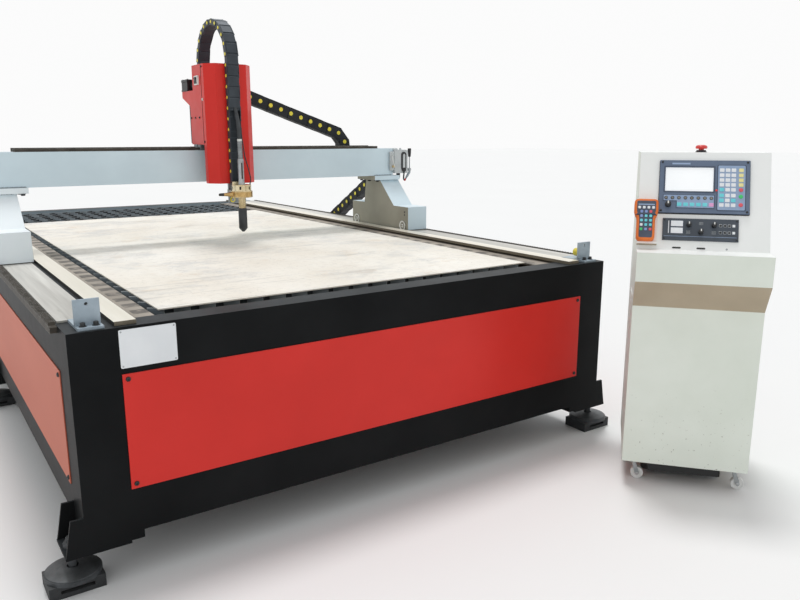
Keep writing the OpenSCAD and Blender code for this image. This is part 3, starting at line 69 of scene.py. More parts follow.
look = Vector((math.sin(YAW) * math.cos(PITCH), math.cos(YAW) * math.cos(PITCH), -math.sin(PITCH)))
lens = bpy.data.cameras.new("camera")
lens.sensor_fit, lens.sensor_width, lens.lens = "HORIZONTAL", SENSOR, FOCAL / IMAGE_W * SENSOR
lens.clip_start, lens.clip_end = 0.05, 200.0
camera = bpy.data.objects.new("camera", lens)
camera.location = CAMERA_AT
camera.rotation_mode = "QUATERNION"
camera.rotation_quaternion = look.to_track_quat("-Z", "Y")
bpy.context.scene.collection.objects.link(camera)
bpy.context.scene.camera = camera
bpy.context.scene.view_settings.view_transform = "Standard"


# Materials
def tone(code):
    """A hex colour as linear values."""
    parts = [int(code[i:i + 2], 16) / 255 for i in (1, 3, 5)]
    return tuple(c / 12.92 if c <= 0.04045 else ((c + 0.055) / 1.055) ** 2.4 for c in parts) + (1.0,)


def wire(tree, node, values):
    """Set a node's inputs to plain values or link them to outputs."""
    for key, value in values.items():
        if isinstance(value, bpy.types.NodeSocket):
            tree.links.new(value, node.inputs[key])
        else:
            node.inputs[key].default_value = value


def add_node(tree, kind, values=None, **sets):
    made = tree.nodes.new(kind)
    for key, value in sets.items():
        setattr(made, key, value)
    wire(tree, made, values or {})
    return made


class Finish:
    """A material and short ways to wire its nodes."""

    RELIEF = 0.002

    def __init__(self, name):
        self.material = bpy.data.materials.new(name)
        self.material.use_nodes = True
        self.tree = self.material.node_tree
        self.place = self.node("ShaderNodeTexCoord").outputs["Object"]
        self.normal = self.node("ShaderNodeNewGeometry").outputs["Normal"]
        self.axes = self.looks = None

    def node(self, kind, values=None, **sets):
        return add_node(self.tree, kind, values, **sets)

    def shade(self, values):
        wire(self.tree, self.tree.nodes["Principled BSDF"], values)

    def math(self, operation, a, b=0.0):
        return self.node("ShaderNodeMath", {0: a, 1: b}, operation=operation).outputs[0]

    def times(self, a, b):
        return self.math("MULTIPLY", a, b)

    def between(self, *levels, out=(0.0, 1.0)):
        """A value mapped from between two levels to between two others."""
        return self.node("ShaderNodeMapRange", dict(enumerate(levels + out))).outputs[0]

    def noise(self, scale, detail=4.0, stretch=None, rough=0.55):
        place = self.place
        if stretch:
            place = self.node("ShaderNodeMapping", {"Scale": stretch, "Vector": place}).outputs[0]
        values = {"Scale": scale, "Detail": detail, "Roughness": rough, "Vector": place}
        return self.node("ShaderNodeTexNoise", values).outputs["Fac"]

    def mix(self, share, a, b):
        return self.node("ShaderNodeMix", {0: share, 6: a, 7: b}, data_type="RGBA").outputs[2]

    def blend(self, share, a, b):
        """A mix of two plain values."""
        return self.node("ShaderNodeMix", {0: share, 2: a, 3: b}).outputs[0]

    def axis(self, i):
        self.axes = self.axes or self.node("ShaderNodeSeparateXYZ", {0: self.place})
        return self.axes.outputs[i]

    def over(self, i, at):
        """1 where the table coordinate i, in millimetres, is over a value."""
        return self.math("GREATER_THAN", self.axis(i), (at - ORIGIN[i]) * MM)

    def under(self, i, at):
        return self.math("SUBTRACT", 1.0, self.over(i, at))

    def within(self, i, low, high):
        """1 where the table coordinate i lies between two values."""
        return self.times(self.over(i, low), self.under(i, high))

    def strips(self, low, high):
        """1 in a strip along the left side and its mirror on the right."""
        return self.math("ADD", self.within(0, low, high), self.within(0, FRAME_W - high, FRAME_W - low))

    def facing(self, i):
        """How far a face looks along axis i."""
        self.looks = self.looks or self.node("ShaderNodeSeparateXYZ", {0: self.normal})
        return self.looks.outputs[i]

    def softened(self, radius):
        return self.node("ShaderNodeBevel", {"Radius": radius}, samples=4).outputs[0]

    def edges(self, width):
        """1 near the edges of the shape."""
        values = {0: self.softened(width), 1: self.normal}
        dot = self.node("ShaderNodeVectorMath", values, operation="DOT_PRODUCT")
        return self.between(dot.outputs["Value"], 0.985, 0.9)

    def bump(self, strength, height, soft=0.0):
        """Fine relief, on edges softened by a radius if there is one."""
        values = {"Strength": strength, "Distance": self.RELIEF, "Height": height}
        if soft:
            values["Normal"] = self.softened(soft)
        self.shade({"Normal": self.node("ShaderNodeBump", values).outputs[0]})


def finish(name, light, dark, rough=(0.4, 0.55), metal=0.0, scale=5.0, stretch=None, grain=700.0,
           bump=0.04, dust_and_sheen=None, wear_and_highlight=None, soft=0.0012, coat=0.0, spots=None, parts=None, shine=0.5):
    """A finish with colour drift, grain, dust on top that is a painted sheen in some finishes, worn edges that
    are painted highlights in some finishes, and regions of their own colour and regions of painted light and
    shade.
    """
    f = Finish(name)
    drift = f.between(f.noise(scale, 5.0, stretch), 0.3, 0.7)
    colour = f.mix(drift, tone(dark), tone(light))
    roughness = f.between(f.noise(scale * 7, 4.0, stretch), 0.3, 0.7, out=rough)
    metallic = metal
    if spots:
        code, size, amount = spots
        patch = f.between(f.noise(size, 6.0, stretch, 0.65), 0.72 - amount * 0.3, 0.82 - amount * 0.3)
        colour = f.mix(patch, colour, tone(code))
    for share, (pale, deep), part_rough, part_metal in parts(f) if parts else ():
        colour = f.mix(share, colour, f.mix(drift, tone(deep), tone(pale)))
        roughness = f.blend(share, roughness, part_rough)
        if part_metal != metal or isinstance(metallic, bpy.types.NodeSocket):
            metallic = f.blend(share, metallic, part_metal)
    # Pale edges: wear, and in some finishes a painted highlight
    if wear_and_highlight:
        code, width, amount = wear_and_highlight
        worn_and_highlit = f.times(f.edges(width), f.between(f.noise(60.0), 0.62 - amount * 0.4, 0.75))
        colour = f.mix(worn_and_highlit, colour, tone(code))
    # Pale upward faces: dust, and in some finishes a painted sky reflection
    if dust_and_sheen:
        code, amount = dust_and_sheen
        patchy = f.between(f.noise(7.0, 6.0), 0.2, 0.75, out=(0.25, 1.0))
        lying = f.times(f.between(f.facing(2), 0.5, 0.95), patchy)
        colour = f.mix(f.times(lying, amount), colour, tone(code))
    f.shade({"Base Color": colour, "Roughness": roughness, "Metallic": metallic, "Specular IOR Level": shine})
    if coat:
        f.shade({"Coat Weight": coat, "Coat Roughness": 0.15})
    f.bump(bump, f.noise(grain, 3.0, stretch), soft)
    return f.material


# Regions of a finish: where, light and dark colour, roughness, metal
def rail_parts(f):
    """The guide bars have bright worn tops; their sides are painted brown-grey as shade, and the outer sides
    black as a painted shadow.
    """
    bar = f.strips(126, 188)
    # Painted shade on the sides, painted shadow on the outer sides
    side = f.times(bar, f.math("LESS_THAN", f.facing(2), 0.5))
    outer = f.times(side, f.strips(126, 128))
    top = f.times(bar, f.math("GREATER_THAN", f.facing(2), 0.5))
    return [(side, ("#847b69", "#6a6253"), 0.5, 0.2), (outer, ("#211f1d", "#151413"), 0.6, 0.0),
            (top, ("#f6f1e4", "#e3dccb"), 0.34, 0.3)]


def frame_parts(f):
    """Inside the bed the frame is dusty brown, and at the rear beam it is painted pale blue-grey as a
    reflection.
    """
    plan = f.times(f.within(0, 159.5, 1920.5), f.within(1, 89.5, 3610.5))
    inside = f.times(plan, f.over(2, 672))
    # Painted reflection on the rear beam's inner face
    rear_reflection = f.times(inside, f.over(1, 3600))
    return [(inside, ("#7d7463", "#5c5548"), 0.7, 0.0), (rear_reflection, ("#a9b9c2", "#8c9ca6"), 0.5, 0.0)]


def panel_reflection_parts(f):
    """The left side's panels are painted pale salmon as a reflection."""
    return [(f.under(0, 2), ("#d0745c", "#be644d"), 0.46, 0.0)]


def slat_light_and_shade_parts(f):
    """Every second face of a slat's zigzag is painted bright as light, the others dark as shade."""
    return [(f.between(f.facing(0), -0.1, -0.4), ("#98a3ab", "#727d85"), 0.5, 0.2),
            (f.between(f.facing(0), 0.1, 0.4), ("#3a4045", "#272c30"), 0.6, 0.1)]


def ledge_shadow_parts(f):
    """Painted shadows of the slats' ends lie dark on the ledges beside each slat's end, one slat every 100 mm.
    """
    per_metre, first = 10.0, 172
    near = f.strips(220, 268)
    beat = f.math("FRACT", f.times(f.math("ADD", f.axis(1), (ORIGIN[1] - first) * MM), per_metre))
    slat_end_shadow = f.times(f.math("LESS_THAN", beat, 0.56), f.between(f.noise(30.0, 4.0), 0.28, 0.5))
    return [(f.times(near, slat_end_shadow), ("#3a3631", "#2a2723"), 0.75, 0.0)]


def carriage_shade_parts(f):
    """The side that looks over the bed is painted brownish grey as shade and as a reflection of the bed."""
    return [(f.math("LESS_THAN", f.facing(0), -0.5), ("#a5a292", "#8c8a7b"), 0.5, 0.0)]


def console_parts(f):
    """The console's sloped face is white, the faces under its lip are painted tan as shade, its plinth and
    button collar are black.
    """
    slope = f.between(f.facing(2), 0.25, 0.32)
    shaded_underside = f.between(f.facing(2), -0.35, -0.45)
    low_down = f.between(f.axis(2), 0.42, 0.1, out=(0.0, 0.75))
    specks = f.times(f.between(f.noise(95.0, 3.0), 0.66, 0.72), low_down)
    return [(slope, ("#fafbf9", "#f3f5f2"), 0.42, 0.0), (shaded_underside, ("#b9ab93", "#aa9c85"), 0.5, 0.0),
            (specks, ("#8f8c7c", "#7c7969"), 0.6, 0.0), (f.under(2, 84.9), ("#1c1d1f", "#141516"), 0.5, 0.0),
            (f.over(2, 1199.4), ("#1d1e20", "#151617"), 0.45, 0.0)]


def holder_parts(f):
    """The torch holder's upper ring is pale, its arm grey, its chain foot dark and its prong's tip black."""
    foot = f.times(f.over(1, 1331), f.over(2, 1004.5))
    return [(f.over(2, 1004.2), ("#efe2c2", "#c2b089"), 0.26, 1.0),
            (f.over(1, 1362), ("#9a9c94", "#82847d"), 0.45, 0.5),
            (foot, ("#2c2f33", "#222528"), 0.5, 0.0), (f.under(0, 958), ("#232323", "#181818"), 0.5, 0.0)]


def torch_parts(f):
    """The torch's upper tube is bright nickel over a brass stem."""
    return [(f.over(2, 1033.5), ("#d8d8d3", "#b4b4ae"), 0.24, 1.0)]


def pump_parts(f):
    """The pump's foot is dark."""
    return [(f.under(2, 1050), ("#3a3d3f", "#2c2e30"), 0.45, 0.3)]


BLACK = dict(light="#1f2021", dark="#161718", rough=(0.41, 0.44), scale=3.0, dust_and_sheen=("#6c7276", 0.25),
             wear_and_highlight=("#3a3d40", 0.003, 0.4), bump=0.005, shine=0.05)
GREY = dict(light="#d9ebf3", dark="#cbdde6", rough=(0.34, 0.48), metal=0.05, scale=3.0, bump=0.02,
            wear_and_highlight=("#97a4ac", 0.002, 0.4), dust_and_sheen=("#f0f6f8", 0.4), spots=("#a7b3b9", 9.0, 0.1))
BRASS = dict(light="#d6b37a", dark="#a88a58", rough=(0.2, 0.34), metal=1.0, scale=22.0, bump=0.02)
black_paint = finish("black_paint", **BLACK)
frame_black = finish("frame_black", **BLACK, parts=frame_parts)
red_paint = finish("red_paint", "#df2f27", "#d32920", (0.3, 0.4), scale=2.5, bump=0.008,
                   wear_and_highlight=("#8e1d18", 0.002, 0.4), dust_and_sheen=("#e9b4a8", 0.1), shine=0.3)
side_red = finish("side_red", "#df2f27", "#d32920", (0.42, 0.5), scale=1.6, stretch=(1.0, 0.3, 1.0), bump=0.004,
                  wear_and_highlight=("#8e1d18", 0.002, 0.4), shine=0.15, parts=panel_reflection_parts)
grey_paint = finish("grey_paint", **GREY)
carriage_paint = finish("carriage_paint", **GREY, parts=carriage_shade_parts)
# The left carriage has the beam's grey paint, painted paler here as light
carriage_lit_paint = finish("carriage_lit_paint", "#f1f8fb", "#e6f1f6", (0.34, 0.48), scale=3.0, bump=0.02,
                       wear_and_highlight=("#a9b5bc", 0.002, 0.4), dust_and_sheen=("#f6fafb", 0.4), spots=("#c3ced4", 9.0, 0.1))
console_paint = finish("console_paint", "#eef4ea", "#e4ebdf", (0.4, 0.55), scale=4.0, grain=1400.0,
                       bump=0.03, parts=console_parts)
rail_steel = finish("rail_steel", "#e2e0d9", "#99968f", (0.38, 0.55), metal=0.15, scale=5.0,
                    stretch=(4.0, 0.12, 1.0), grain=260.0, bump=0.03, parts=rail_parts,
                    spots=("#76736b", 9.0, 0.3))
# The rack's pale edges are a painted highlight
rack_steel = finish("rack_steel", "#57524b", "#403c37", (0.45, 0.6), metal=0.2, scale=20.0,
                    wear_and_highlight=("#dcdbd6", 0.0015, 0.8), bump=0.02, shine=0.1)
steel = finish("steel", "#c4c6c7", "#9a9d9f", (0.28, 0.42), metal=0.95, scale=24.0, bump=0.03,
               wear_and_highlight=("#e6e6e4", 0.001, 0.5))
zinc = finish("zinc", "#b9bdbf", "#94999c", (0.35, 0.5), metal=0.8, scale=30.0, bump=0.04)
# The slats' pale edges are partly wear and partly a painted highlight
slat_steel = finish("slat_steel", "#5f676d", "#3c4247", (0.5, 0.75), metal=0.2, scale=9.0, bump=0.06,
                    grain=240.0, spots=("#6b5a4c", 14.0, 0.25), dust_and_sheen=("#cfd3d4", 0.9), parts=slat_light_and_shade_parts,
                    wear_and_highlight=("#c3c9cc", 0.004, 1.0), shine=0.2)
ledge_steel = finish("ledge_steel", "#a69d90", "#7e766b", (0.6, 0.8), metal=0.1, scale=5.0,
                     stretch=(1.0, 0.5, 1.0), bump=0.35, grain=55.0, spots=("#4c463f", 11.0, 0.45),
                     parts=ledge_shadow_parts, dust_and_sheen=("#c2bab0", 0.3))
tray_steel = finish("tray_steel", "#948c80", "#6d675e", (0.6, 0.85), metal=0.2, scale=3.0, bump=0.2,
                    grain=180.0, spots=("#4f4841", 6.0, 0.4), dust_and_sheen=("#b3aa9d", 0.5))
bracket_paint = finish("bracket_paint", "#aebcc6", "#93a2ad", (0.38, 0.55), metal=0.1, scale=14.0,
                       wear_and_highlight=("#5f6970", 0.0015, 0.6), spots=("#6f7477", 40.0, 0.15), bump=0.05)
bumper_rubber = finish("bumper_rubber", "#efe058", "#dcc944", (0.45, 0.6), scale=18.0, bump=0.03)
foot_steel = finish("foot_steel", "#55585b", "#36393b", (0.45, 0.65), metal=0.6, scale=20.0, bump=0.12,
                    grain=300.0, spots=("#5e4a3b", 26.0, 0.25), dust_and_sheen=("#8d8f8f", 0.35))
block_rubber = finish("block_rubber", "#303234", "#202224", (0.6, 0.8), scale=20.0, bump=0.2, grain=400.0,
                      dust_and_sheen=("#7c7e7e", 0.35))
chain_black = finish("chain_black", "#303336", "#26292b", (0.45, 0.58), scale=18.0, bump=0.03, soft=0.0008,
                     shine=0.2, dust_and_sheen=("#6c7074", 0.5))
# The z chain's pale tops are a painted sky reflection
chain_slate = finish("chain_slate", "#3f464d", "#31373d", (0.42, 0.55), scale=18.0, bump=0.03, soft=0.0008,
                     shine=0.3, dust_and_sheen=("#959ca3", 0.9), wear_and_highlight=("#5f6870", 0.0016, 0.6))
chain_yellow = finish("chain_yellow", "#fbee4e", "#f0dd3c", (0.4, 0.5), scale=60.0, bump=0.01, soft=0.0)
motor_black = finish("motor_black", "#222427", "#17181a", (0.38, 0.52), metal=0.2, scale=20.0, bump=0.06)
motor_alu = finish("motor_alu", "#9da3a6", "#84898c", (0.35, 0.5), metal=0.7, scale=30.0, bump=0.05)
pump_cast = finish("pump_cast", "#cdd2d3", "#b4babb", (0.42, 0.6), metal=0.25, scale=14.0, bump=0.14,
                   grain=320.0, wear_and_highlight=("#8d9496", 0.002, 0.4), parts=pump_parts)
brass = finish("brass", "#e6d6b2", "#bfa97e", (0.2, 0.34), metal=1.0, scale=26.0, bump=0.02,
               wear_and_highlight=("#f6ecd2", 0.0012, 0.6))
prong_brass = finish("prong_brass", **BRASS)
holder_brass = finish("holder_brass", **BRASS, wear_and_highlight=("#f3dba6", 0.0012, 0.6), parts=holder_parts)
torch_metal = finish("torch_metal", "#d8c69f", "#a5916a", (0.16, 0.28), metal=1.0, scale=26.0, bump=0.01,
                     parts=torch_parts)
tip_dark = finish("tip_dark", "#45484b", "#2d2f32", (0.42, 0.6), metal=0.35, scale=22.0, bump=0.08,
                  spots=("#22211f", 30.0, 0.3))
hose_grey = finish("hose_grey", "#a7abad", "#878b8e", (0.4, 0.55), metal=0.3, scale=40.0, bump=0.05, soft=0.0)
lead_black = finish("lead_black", "#3b3f43", "#2b2e31", (0.45, 0.6), scale=40.0, bump=0.08, soft=0.0)
white_plastic = finish("white_plastic", "#ecedea", "#dcded9", (0.35, 0.48), scale=40.0, bump=0.03)
dark_plastic = finish("dark_plastic", "#26282b", "#1b1d1f", (0.35, 0.5), scale=40.0, bump=0.04)
caster_white = finish("caster_white", "#f0f1ef", "#dedfdc", (0.35, 0.5), scale=30.0, bump=0.04,
                      spots=("#b5b5ae", 60.0, 0.2))
bezel_blue = finish("bezel_blue", "#66758c", "#59687e", (0.42, 0.55), scale=10.0, bump=0.06, grain=1500.0,
                    wear_and_highlight=("#97a7bd", 0.0012, 0.4))
bezel_dark = finish("bezel_dark", "#4a566a", "#3d485a", (0.42, 0.55), scale=10.0, bump=0.05)
field_blue = finish("field_blue", "#9fb3cf", "#91a6c4", (0.4, 0.5), scale=12.0, bump=0.02, soft=0.0)
screen_white = finish("screen_white", "#f7f9fa", "#eef2f4", (0.12, 0.18), scale=6.0, bump=0.005, soft=0.0)
thc_slate = finish("thc_slate", "#474f59", "#3a414a", (0.4, 0.52), scale=12.0, bump=0.05,
                   wear_and_highlight=("#6c7682", 0.0012, 0.4))
orange_rubber = finish("orange_rubber", "#ee7f35", "#dd6c25", (0.5, 0.65), scale=24.0, bump=0.08, grain=900.0)
pendant_slate = finish("pendant_slate", "#4c5566", "#414958", (0.4, 0.5), scale=24.0, bump=0.03)
stop_red = finish("stop_red", "#e0322c", "#cf2822", (0.25, 0.35), scale=24.0, bump=0.02, coat=0.3)
slot_dark = finish("slot_dark", "#2c2b29", "#1f1e1d", (0.5, 0.65), scale=30.0, bump=0.03)
label_white = finish("label_white", "#eef1f3", "#e2e6e9", (0.3, 0.4), scale=8.0, bump=0.02)
weld_grey = finish("weld_grey", "#a2adb3", "#7d878c", (0.4, 0.6), metal=0.3, scale=60.0, bump=0.15, grain=500.0)
weld_black = finish("weld_black", "#222426", "#161718", (0.4, 0.6), scale=60.0, bump=0.15, grain=500.0)
wheel_web = finish("wheel_web", "#8d8b7e", "#737166", (0.45, 0.6), metal=0.3, scale=30.0, bump=0.03)
lamp_red = finish("lamp_red", "#ea4a44", "#dd3a34", (0.2, 0.3), scale=60.0, bump=0.01)
KEY_TONES = (("W", "white", "#f3f5f7", "#e6eaee"), ("Y", "yellow", "#f3e9a8", "#ecdf92"),
             ("R", "red", "#e8626e", "#dc4f5c"), ("G", "green", "#4fd07a", "#3dc069"),
             ("C", "cyan", "#7fdfe6", "#66d0da"), ("P", "pink", "#eeb2dc", "#e3a0d0"),
             ("N", "brown", "#8f8a80", "#6d6a64"), ("B", "blue", "#8fa3d6", "#7d92c8"))
keys = {letter: finish("key_" + name, light, dark, (0.38, 0.46), scale=40.0, bump=0.02)
        for letter, name, light, dark in KEY_TONES}


def sheet_finish():
    """Cut plate with pale scale, grey and brown stains and fine scratches."""
    f = Finish("sheet_steel")
    scale = f.between(f.noise(1.6, 9.0, (1.0, 0.6, 1.0), 0.65), 0.35, 0.68)
    colour = f.mix(scale, tone("#eae3d6"), tone("#fbf8f0"))
    for noise, low, high, share, code in (
            ((3.0, 12.0, (0.85, 1.0, 1.0), 0.75), 0.5, 0.62, 0.6, "#c9c9c6"),
            ((6.0, 12.0, (0.7, 1.0, 1.0), 0.78), 0.55, 0.72, 0.55, "#d0b491"),
            ((45.0, 8.0, None, 0.7), 0.5, 0.75, 0.35, "#b5afa5"),
            ((26.0, 5.0, (0.06, 1.0, 1.0), 0.6), 0.58, 0.7, 0.4, "#a5a19a"),
            ((130.0, 2.0), 0.68, 0.74, 0.6, "#776c5e")):
        colour = f.mix(f.between(f.noise(*noise), low, high, out=(0.0, share)), colour, tone(code))
    roughness = f.between(f.noise(9.0, 5.0), 0.3, 0.7, out=(0.45, 0.72))
    f.shade({"Base Color": colour, "Roughness": roughness, "Metallic": 0.04})
    f.bump(0.12, f.noise(90.0, 6.0))
    return f.material


# The screen glows a little
wire(screen_white.node_tree, screen_white.node_tree.nodes["Principled BSDF"],
     {"Emission Color": (1.0, 1.0, 1.0, 1.0), "Emission Strength": 0.22})

for material, names in (
        (frame_black, "table_frame"), (foot_steel, "levelling_feet"), (block_rubber, "foot_blocks"),
        (red_paint, "front_panel head_cover motor_box"), (side_red, "side_panels"),
        (dark_plastic, "frame_screws console_drives controller_knob"),
        (dark_plastic, "thc_knob_left thc_knob_middle thc_knob_right"),
        (slat_steel, "slats"), (ledge_steel, "slat_bearers"), (tray_steel, "dross_tray"),
        (rail_steel, "side_rails"), (rack_steel, "racks drive_pinions x_guides x_pinion"),
        (bracket_paint, "stop_brackets"), (bumper_rubber, "stop_bumpers"), (black_paint, "y_chain_tray"),
        (chain_black, "y_chain x_chain"), (sheet_finish(), "work_sheet"),
        (grey_paint, "gantry_beam x_chain_tray"), (carriage_lit_paint, "left_carriage"),
        (carriage_paint, "right_carriage"),
        (steel, "front_wheels rear_wheels z_screw"), (motor_black, "gantry_motors x_motor"),
        (pump_cast, "oil_pump"), (zinc, "oil_pump_lever left_caster right_caster rear_casters"),
        (motor_alu, "head_plate z_drive lift_slide"), (chain_slate, "z_chain"), (holder_brass, "torch_holder"),
        (torch_metal, "torch_body"), (tip_dark, "torch_tip"), (hose_grey, "torch_hose"),
        (console_paint, "console_cabinet"), (bezel_blue, "controller"), (screen_white, "controller_screen"),
        (keys["W"], "controller_keys"), (thc_slate, "thc_panel"), (stop_red, "e_stop_button"),
        (orange_rubber, "pendant"), (caster_white, "left_caster_wheel right_caster_wheel rear_caster_wheels")):
    for name in names.split():
        if not nodes[name].material_slots:
            nodes[name].data.materials.append(material)
        for slot in nodes[name].material_slots:
            slot.material = material


# Mesh tools
def circle(x, y, r, n=24):
    return [(x + r * math.cos(2 * math.pi * i / n), y + r * math.sin(2 * math.pi * i / n)) for i in range(n)]


def rounded(x0, y0, x1, y1, r, n=4):
    """Outline of a rectangle with round corners."""
    out = []
    for cx, cy, a0 in ((x1 - r, y0 + r, -90), (x1 - r, y1 - r, 0), (x0 + r, y1 - r, 90), (x0 + r, y0 + r, 180)):
        for i in range(n + 1):
            a = math.radians(a0 + 90 * i / n)
            out.append((cx + r * math.cos(a), cy + r * math.sin(a)))
    return out


def upright(x, z0, z1, r, n=10):
    """Outline of an upright bar with half-round ends."""
    turns = [math.pi * (i / n - 0.5) for i in range(n + 1)]
    upper = [(x + r * math.sin(a), z1 + r * math.cos(a)) for a in turns]
    return (upper + [(x - r * math.sin(a), z0 - r * math.cos(a)) for a in turns])[::-1]


def inset(outline, d):
    """An outline moved inwards."""
    out, n = [], len(outline)
    for i in range(n):
        a, b, c = (Vector(outline[(i + k) % n]) for k in (-1, 0, 1))
        e, g = (b - a).normalized(), (c - b).normalized()
        n1, n2 = Vector((-e.y, e.x)), Vector((-g.y, g.x))
        out.append(tuple(b + (n1 + n2) * (d / max(0.3, 1 + n1.dot(n2)))))
    return out


def level(outline, z):
    return [(x, y, z) for x, y in outline]


def turned(axis, n):
    """An axis and n directions square to it."""
    d = Vector(axis).normalized()
    a = d.orthogonal().normalized()
    b = d.cross(a)
    return d, [a * math.cos(2 * math.pi * i / n) + b * math.sin(2 * math.pi * i / n) for i in range(n)]


class Shape:
    """Faces gathered in table millimetres and made into one piece."""

    SHARP = math.radians(32.0)

    def __init__(self, place=None):
        self.points, self.faces, self.mats, self.mat = [], [], [], 0
        self.place = place or (lambda p: p)

    def add(self, points, faces):
        k = len(self.points)
        self.points += [self.place(p) for p in points]
        self.faces += [[k + i for i in f] for f in faces]
        self.mats += [self.mat] * len(faces)

    def block(self, lo, hi, cut):
        """A box with its edges cut back."""
        # Corner s has its bits for x, y and z, and a point 3 * s + a on each face across axis a
        points = [tuple(hi[i] - cut * (i != a) if s >> i & 1 else lo[i] + cut * (i != a) for i in range(3))
                  for s in range(8) for a in range(3)]
        faces = [[3 * s, 3 * s + 1, 3 * s + 2] for s in range(8)]
        for a in range(3):
            b = (a + 1) % 3
            along, up, over = 1 << a, 1 << b, 1 << (a + 2) % 3
            for e in (0, along):
                faces.append([3 * (e + s) + a for s in (0, up, up + over, over)])
                for p in (e, e + up):
                    q = p + over
                    faces.append([3 * p + a, 3 * q + a, 3 * q + b, 3 * p + b])
        self.add(points, faces)

    def prism(self, outline, z0, z1, cut=0.0):
        """An outline raised from z0 to z1, its upper edge cut back."""
        rings = [level(outline, z0)]
        if cut:
            rings.append(level(outline, z1 - math.copysign(cut, z1 - z0)))
            outline = inset(outline, cut)
        self.rings(rings + [level(outline, z1)], True)

    def plate(self, x0, y0, x1, y1, r, z0, z1, cut):
        self.prism(rounded(x0, y0, x1, y1, r), z0, z1, cut)

    def surround(self, outer, inner, z0, z1, z2):
        """A band between two outlines, up to z1 from z0 outside and from z2 inside."""
        self.rings([level(outer, z0), level(outer, z1), level(inner, z1), level(inner, z2)], False, True)

    def rings(self, rings, capped, closed=False):
        """Rings of points joined in turn, with caps or as a closed loop."""
        n, points, faces = len(rings[0]), [p for r in rings for p in r], []
        pairs = [(j, j + 1) for j in range(len(rings) - 1)] + ([(len(rings) - 1, 0)] if closed else [])
        for j, k in pairs:
            faces += [[j * n + i, j * n + (i + 1) % n, k * n + (i + 1) % n, k * n + i] for i in range(n)]
        if capped:
            last = (len(rings) - 1) * n
            faces += [list(range(n - 1, -1, -1)), list(range(last, last + n))]
        self.add(points, faces)

    def lathe(self, at, axis, profile, n=32):
        """A profile of radius and height turned about an axis. A third value of 6 makes that ring a hexagon."""
        d, ways = turned(axis, n)
        rings = []
        for r, h, *hexagon in profile:
            r, ring = max(r, 0.02), []
            for i, way in enumerate(ways):
                k = r
                if hexagon:
                    k = r * math.cos(math.pi / 6) / math.cos(2 * math.pi * i / n % (math.pi / 3) - math.pi / 6)
                ring.append(tuple(Vector(at) + d * h + way * k))
            rings.append(ring)
        self.rings(rings, True)

    def ring(self, at, axis, profile, n=40):
        """A closed profile turned about an axis, with its hole open."""
        d, ways = turned(axis, n)
        self.rings([[tuple(Vector(at) + d * h + way * r) for way in ways] for r, h in profile], False, True)

    def sweep(self, path, radii, n=14):
        """A round bar along a path."""
        pts = [Vector(p) for p in path]
        if not hasattr(radii, "__len__"):
            radii = [radii] * len(pts)
        tangent = [(pts[min(i + 1, len(pts) - 1)] - pts[max(i - 1, 0)]).normalized() for i in range(len(pts))]
        a = tangent[0].orthogonal().normalized()
        rings = []
        for p, t, r in zip(pts, tangent, radii):
            a = (a - t * a.dot(t)).normalized()
            b = t.cross(a)
            rings.append([tuple(p + (a * c + b * s) * r) for c, s in circle(0, 0, 1, n)])
        self.rings(rings, True)

    def weld(self, start, end, r):
        """A rippled weld bead between two points."""
        a, b = Vector(start), Vector(end)
        count = max(6, int((b - a).length / (r * 0.5)))
        path = [a.lerp(b, i / count) for i in range(count + 1)]
        radii = [r * (0.78 + 0.22 * math.sin(i * 1.9) + 0.08 * math.sin(i * 0.7)) for i in range(count + 1)]
        radii[0] = radii[-1] = r * 0.4
        self.sweep(path, radii, 8)

    def screw(self, at, axis, r, h):
        """A domed screw head with a hexagon socket."""
        self.lathe(at, axis, [(r, -0.2), (r, h * 0.3), (r * 0.93, h * 0.62), (r * 0.7, h * 0.92), (r * 0.5, h),
                              (r * 0.44, h, 6), (r * 0.42, h * 0.45, 6), (0.0, h * 0.42)], 24)

    def bolt(self, at, axis, r, h):
        """A hexagon head on its washer."""
        self.lathe(at, axis, [(r * 1.45, 0), (r * 1.45, 1.6), (r * 1.1, 1.8), (r, 1.9, 6), (r, h * 0.88, 6),
                              (r * 0.84, h), (0.0, h)], 24)

    def piece(self, name, body, materials, replaces=()):
        """The object, riding on a body unless that is None."""
        mesh = bpy.data.meshes.new(name)
        mesh.from_pydata([row(p) for p in self.points], [], self.faces)
        for m in materials if isinstance(materials, list) else [materials]:
            mesh.materials.append(m)
        mesh.polygons.foreach_set("material_index", self.mats)
        work = bmesh.new()
        work.from_mesh(mesh)
        bmesh.ops.recalc_face_normals(work, faces=work.faces)
        work.to_mesh(mesh)
        work.free()
        mesh.polygons.foreach_set("use_smooth", [True] * len(mesh.polygons))
        mesh.set_sharp_from_angle(angle=self.SHARP)
        mesh.update()
        made = bpy.data.objects.new(name, mesh)
        bpy.context.scene.collection.objects.link(made)
        if body:
            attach(made, body)
        if replaces:
            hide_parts(*replaces)
        return made


def smooth_path(points, n=6):
    """A Catmull-Rom curve through points."""
    pts = [Vector(p) for p in points]
    pts = [2 * pts[0] - pts[1]] + pts + [2 * pts[-1] - pts[-2]]
    out = []
    for i in range(1, len(pts) - 2):
        p0, p1, p2, p3 = pts[i - 1:i + 3]
        for k in range(n):
            t = k / n
            out.append(0.5 * (2 * p1 + (p2 - p0) * t + (2 * p0 - 5 * p1 + 4 * p2 - p3) * t * t
                              + (3 * p1 - p0 - 3 * p2 + p3) * t * t * t))
    return out + [pts[-2]]


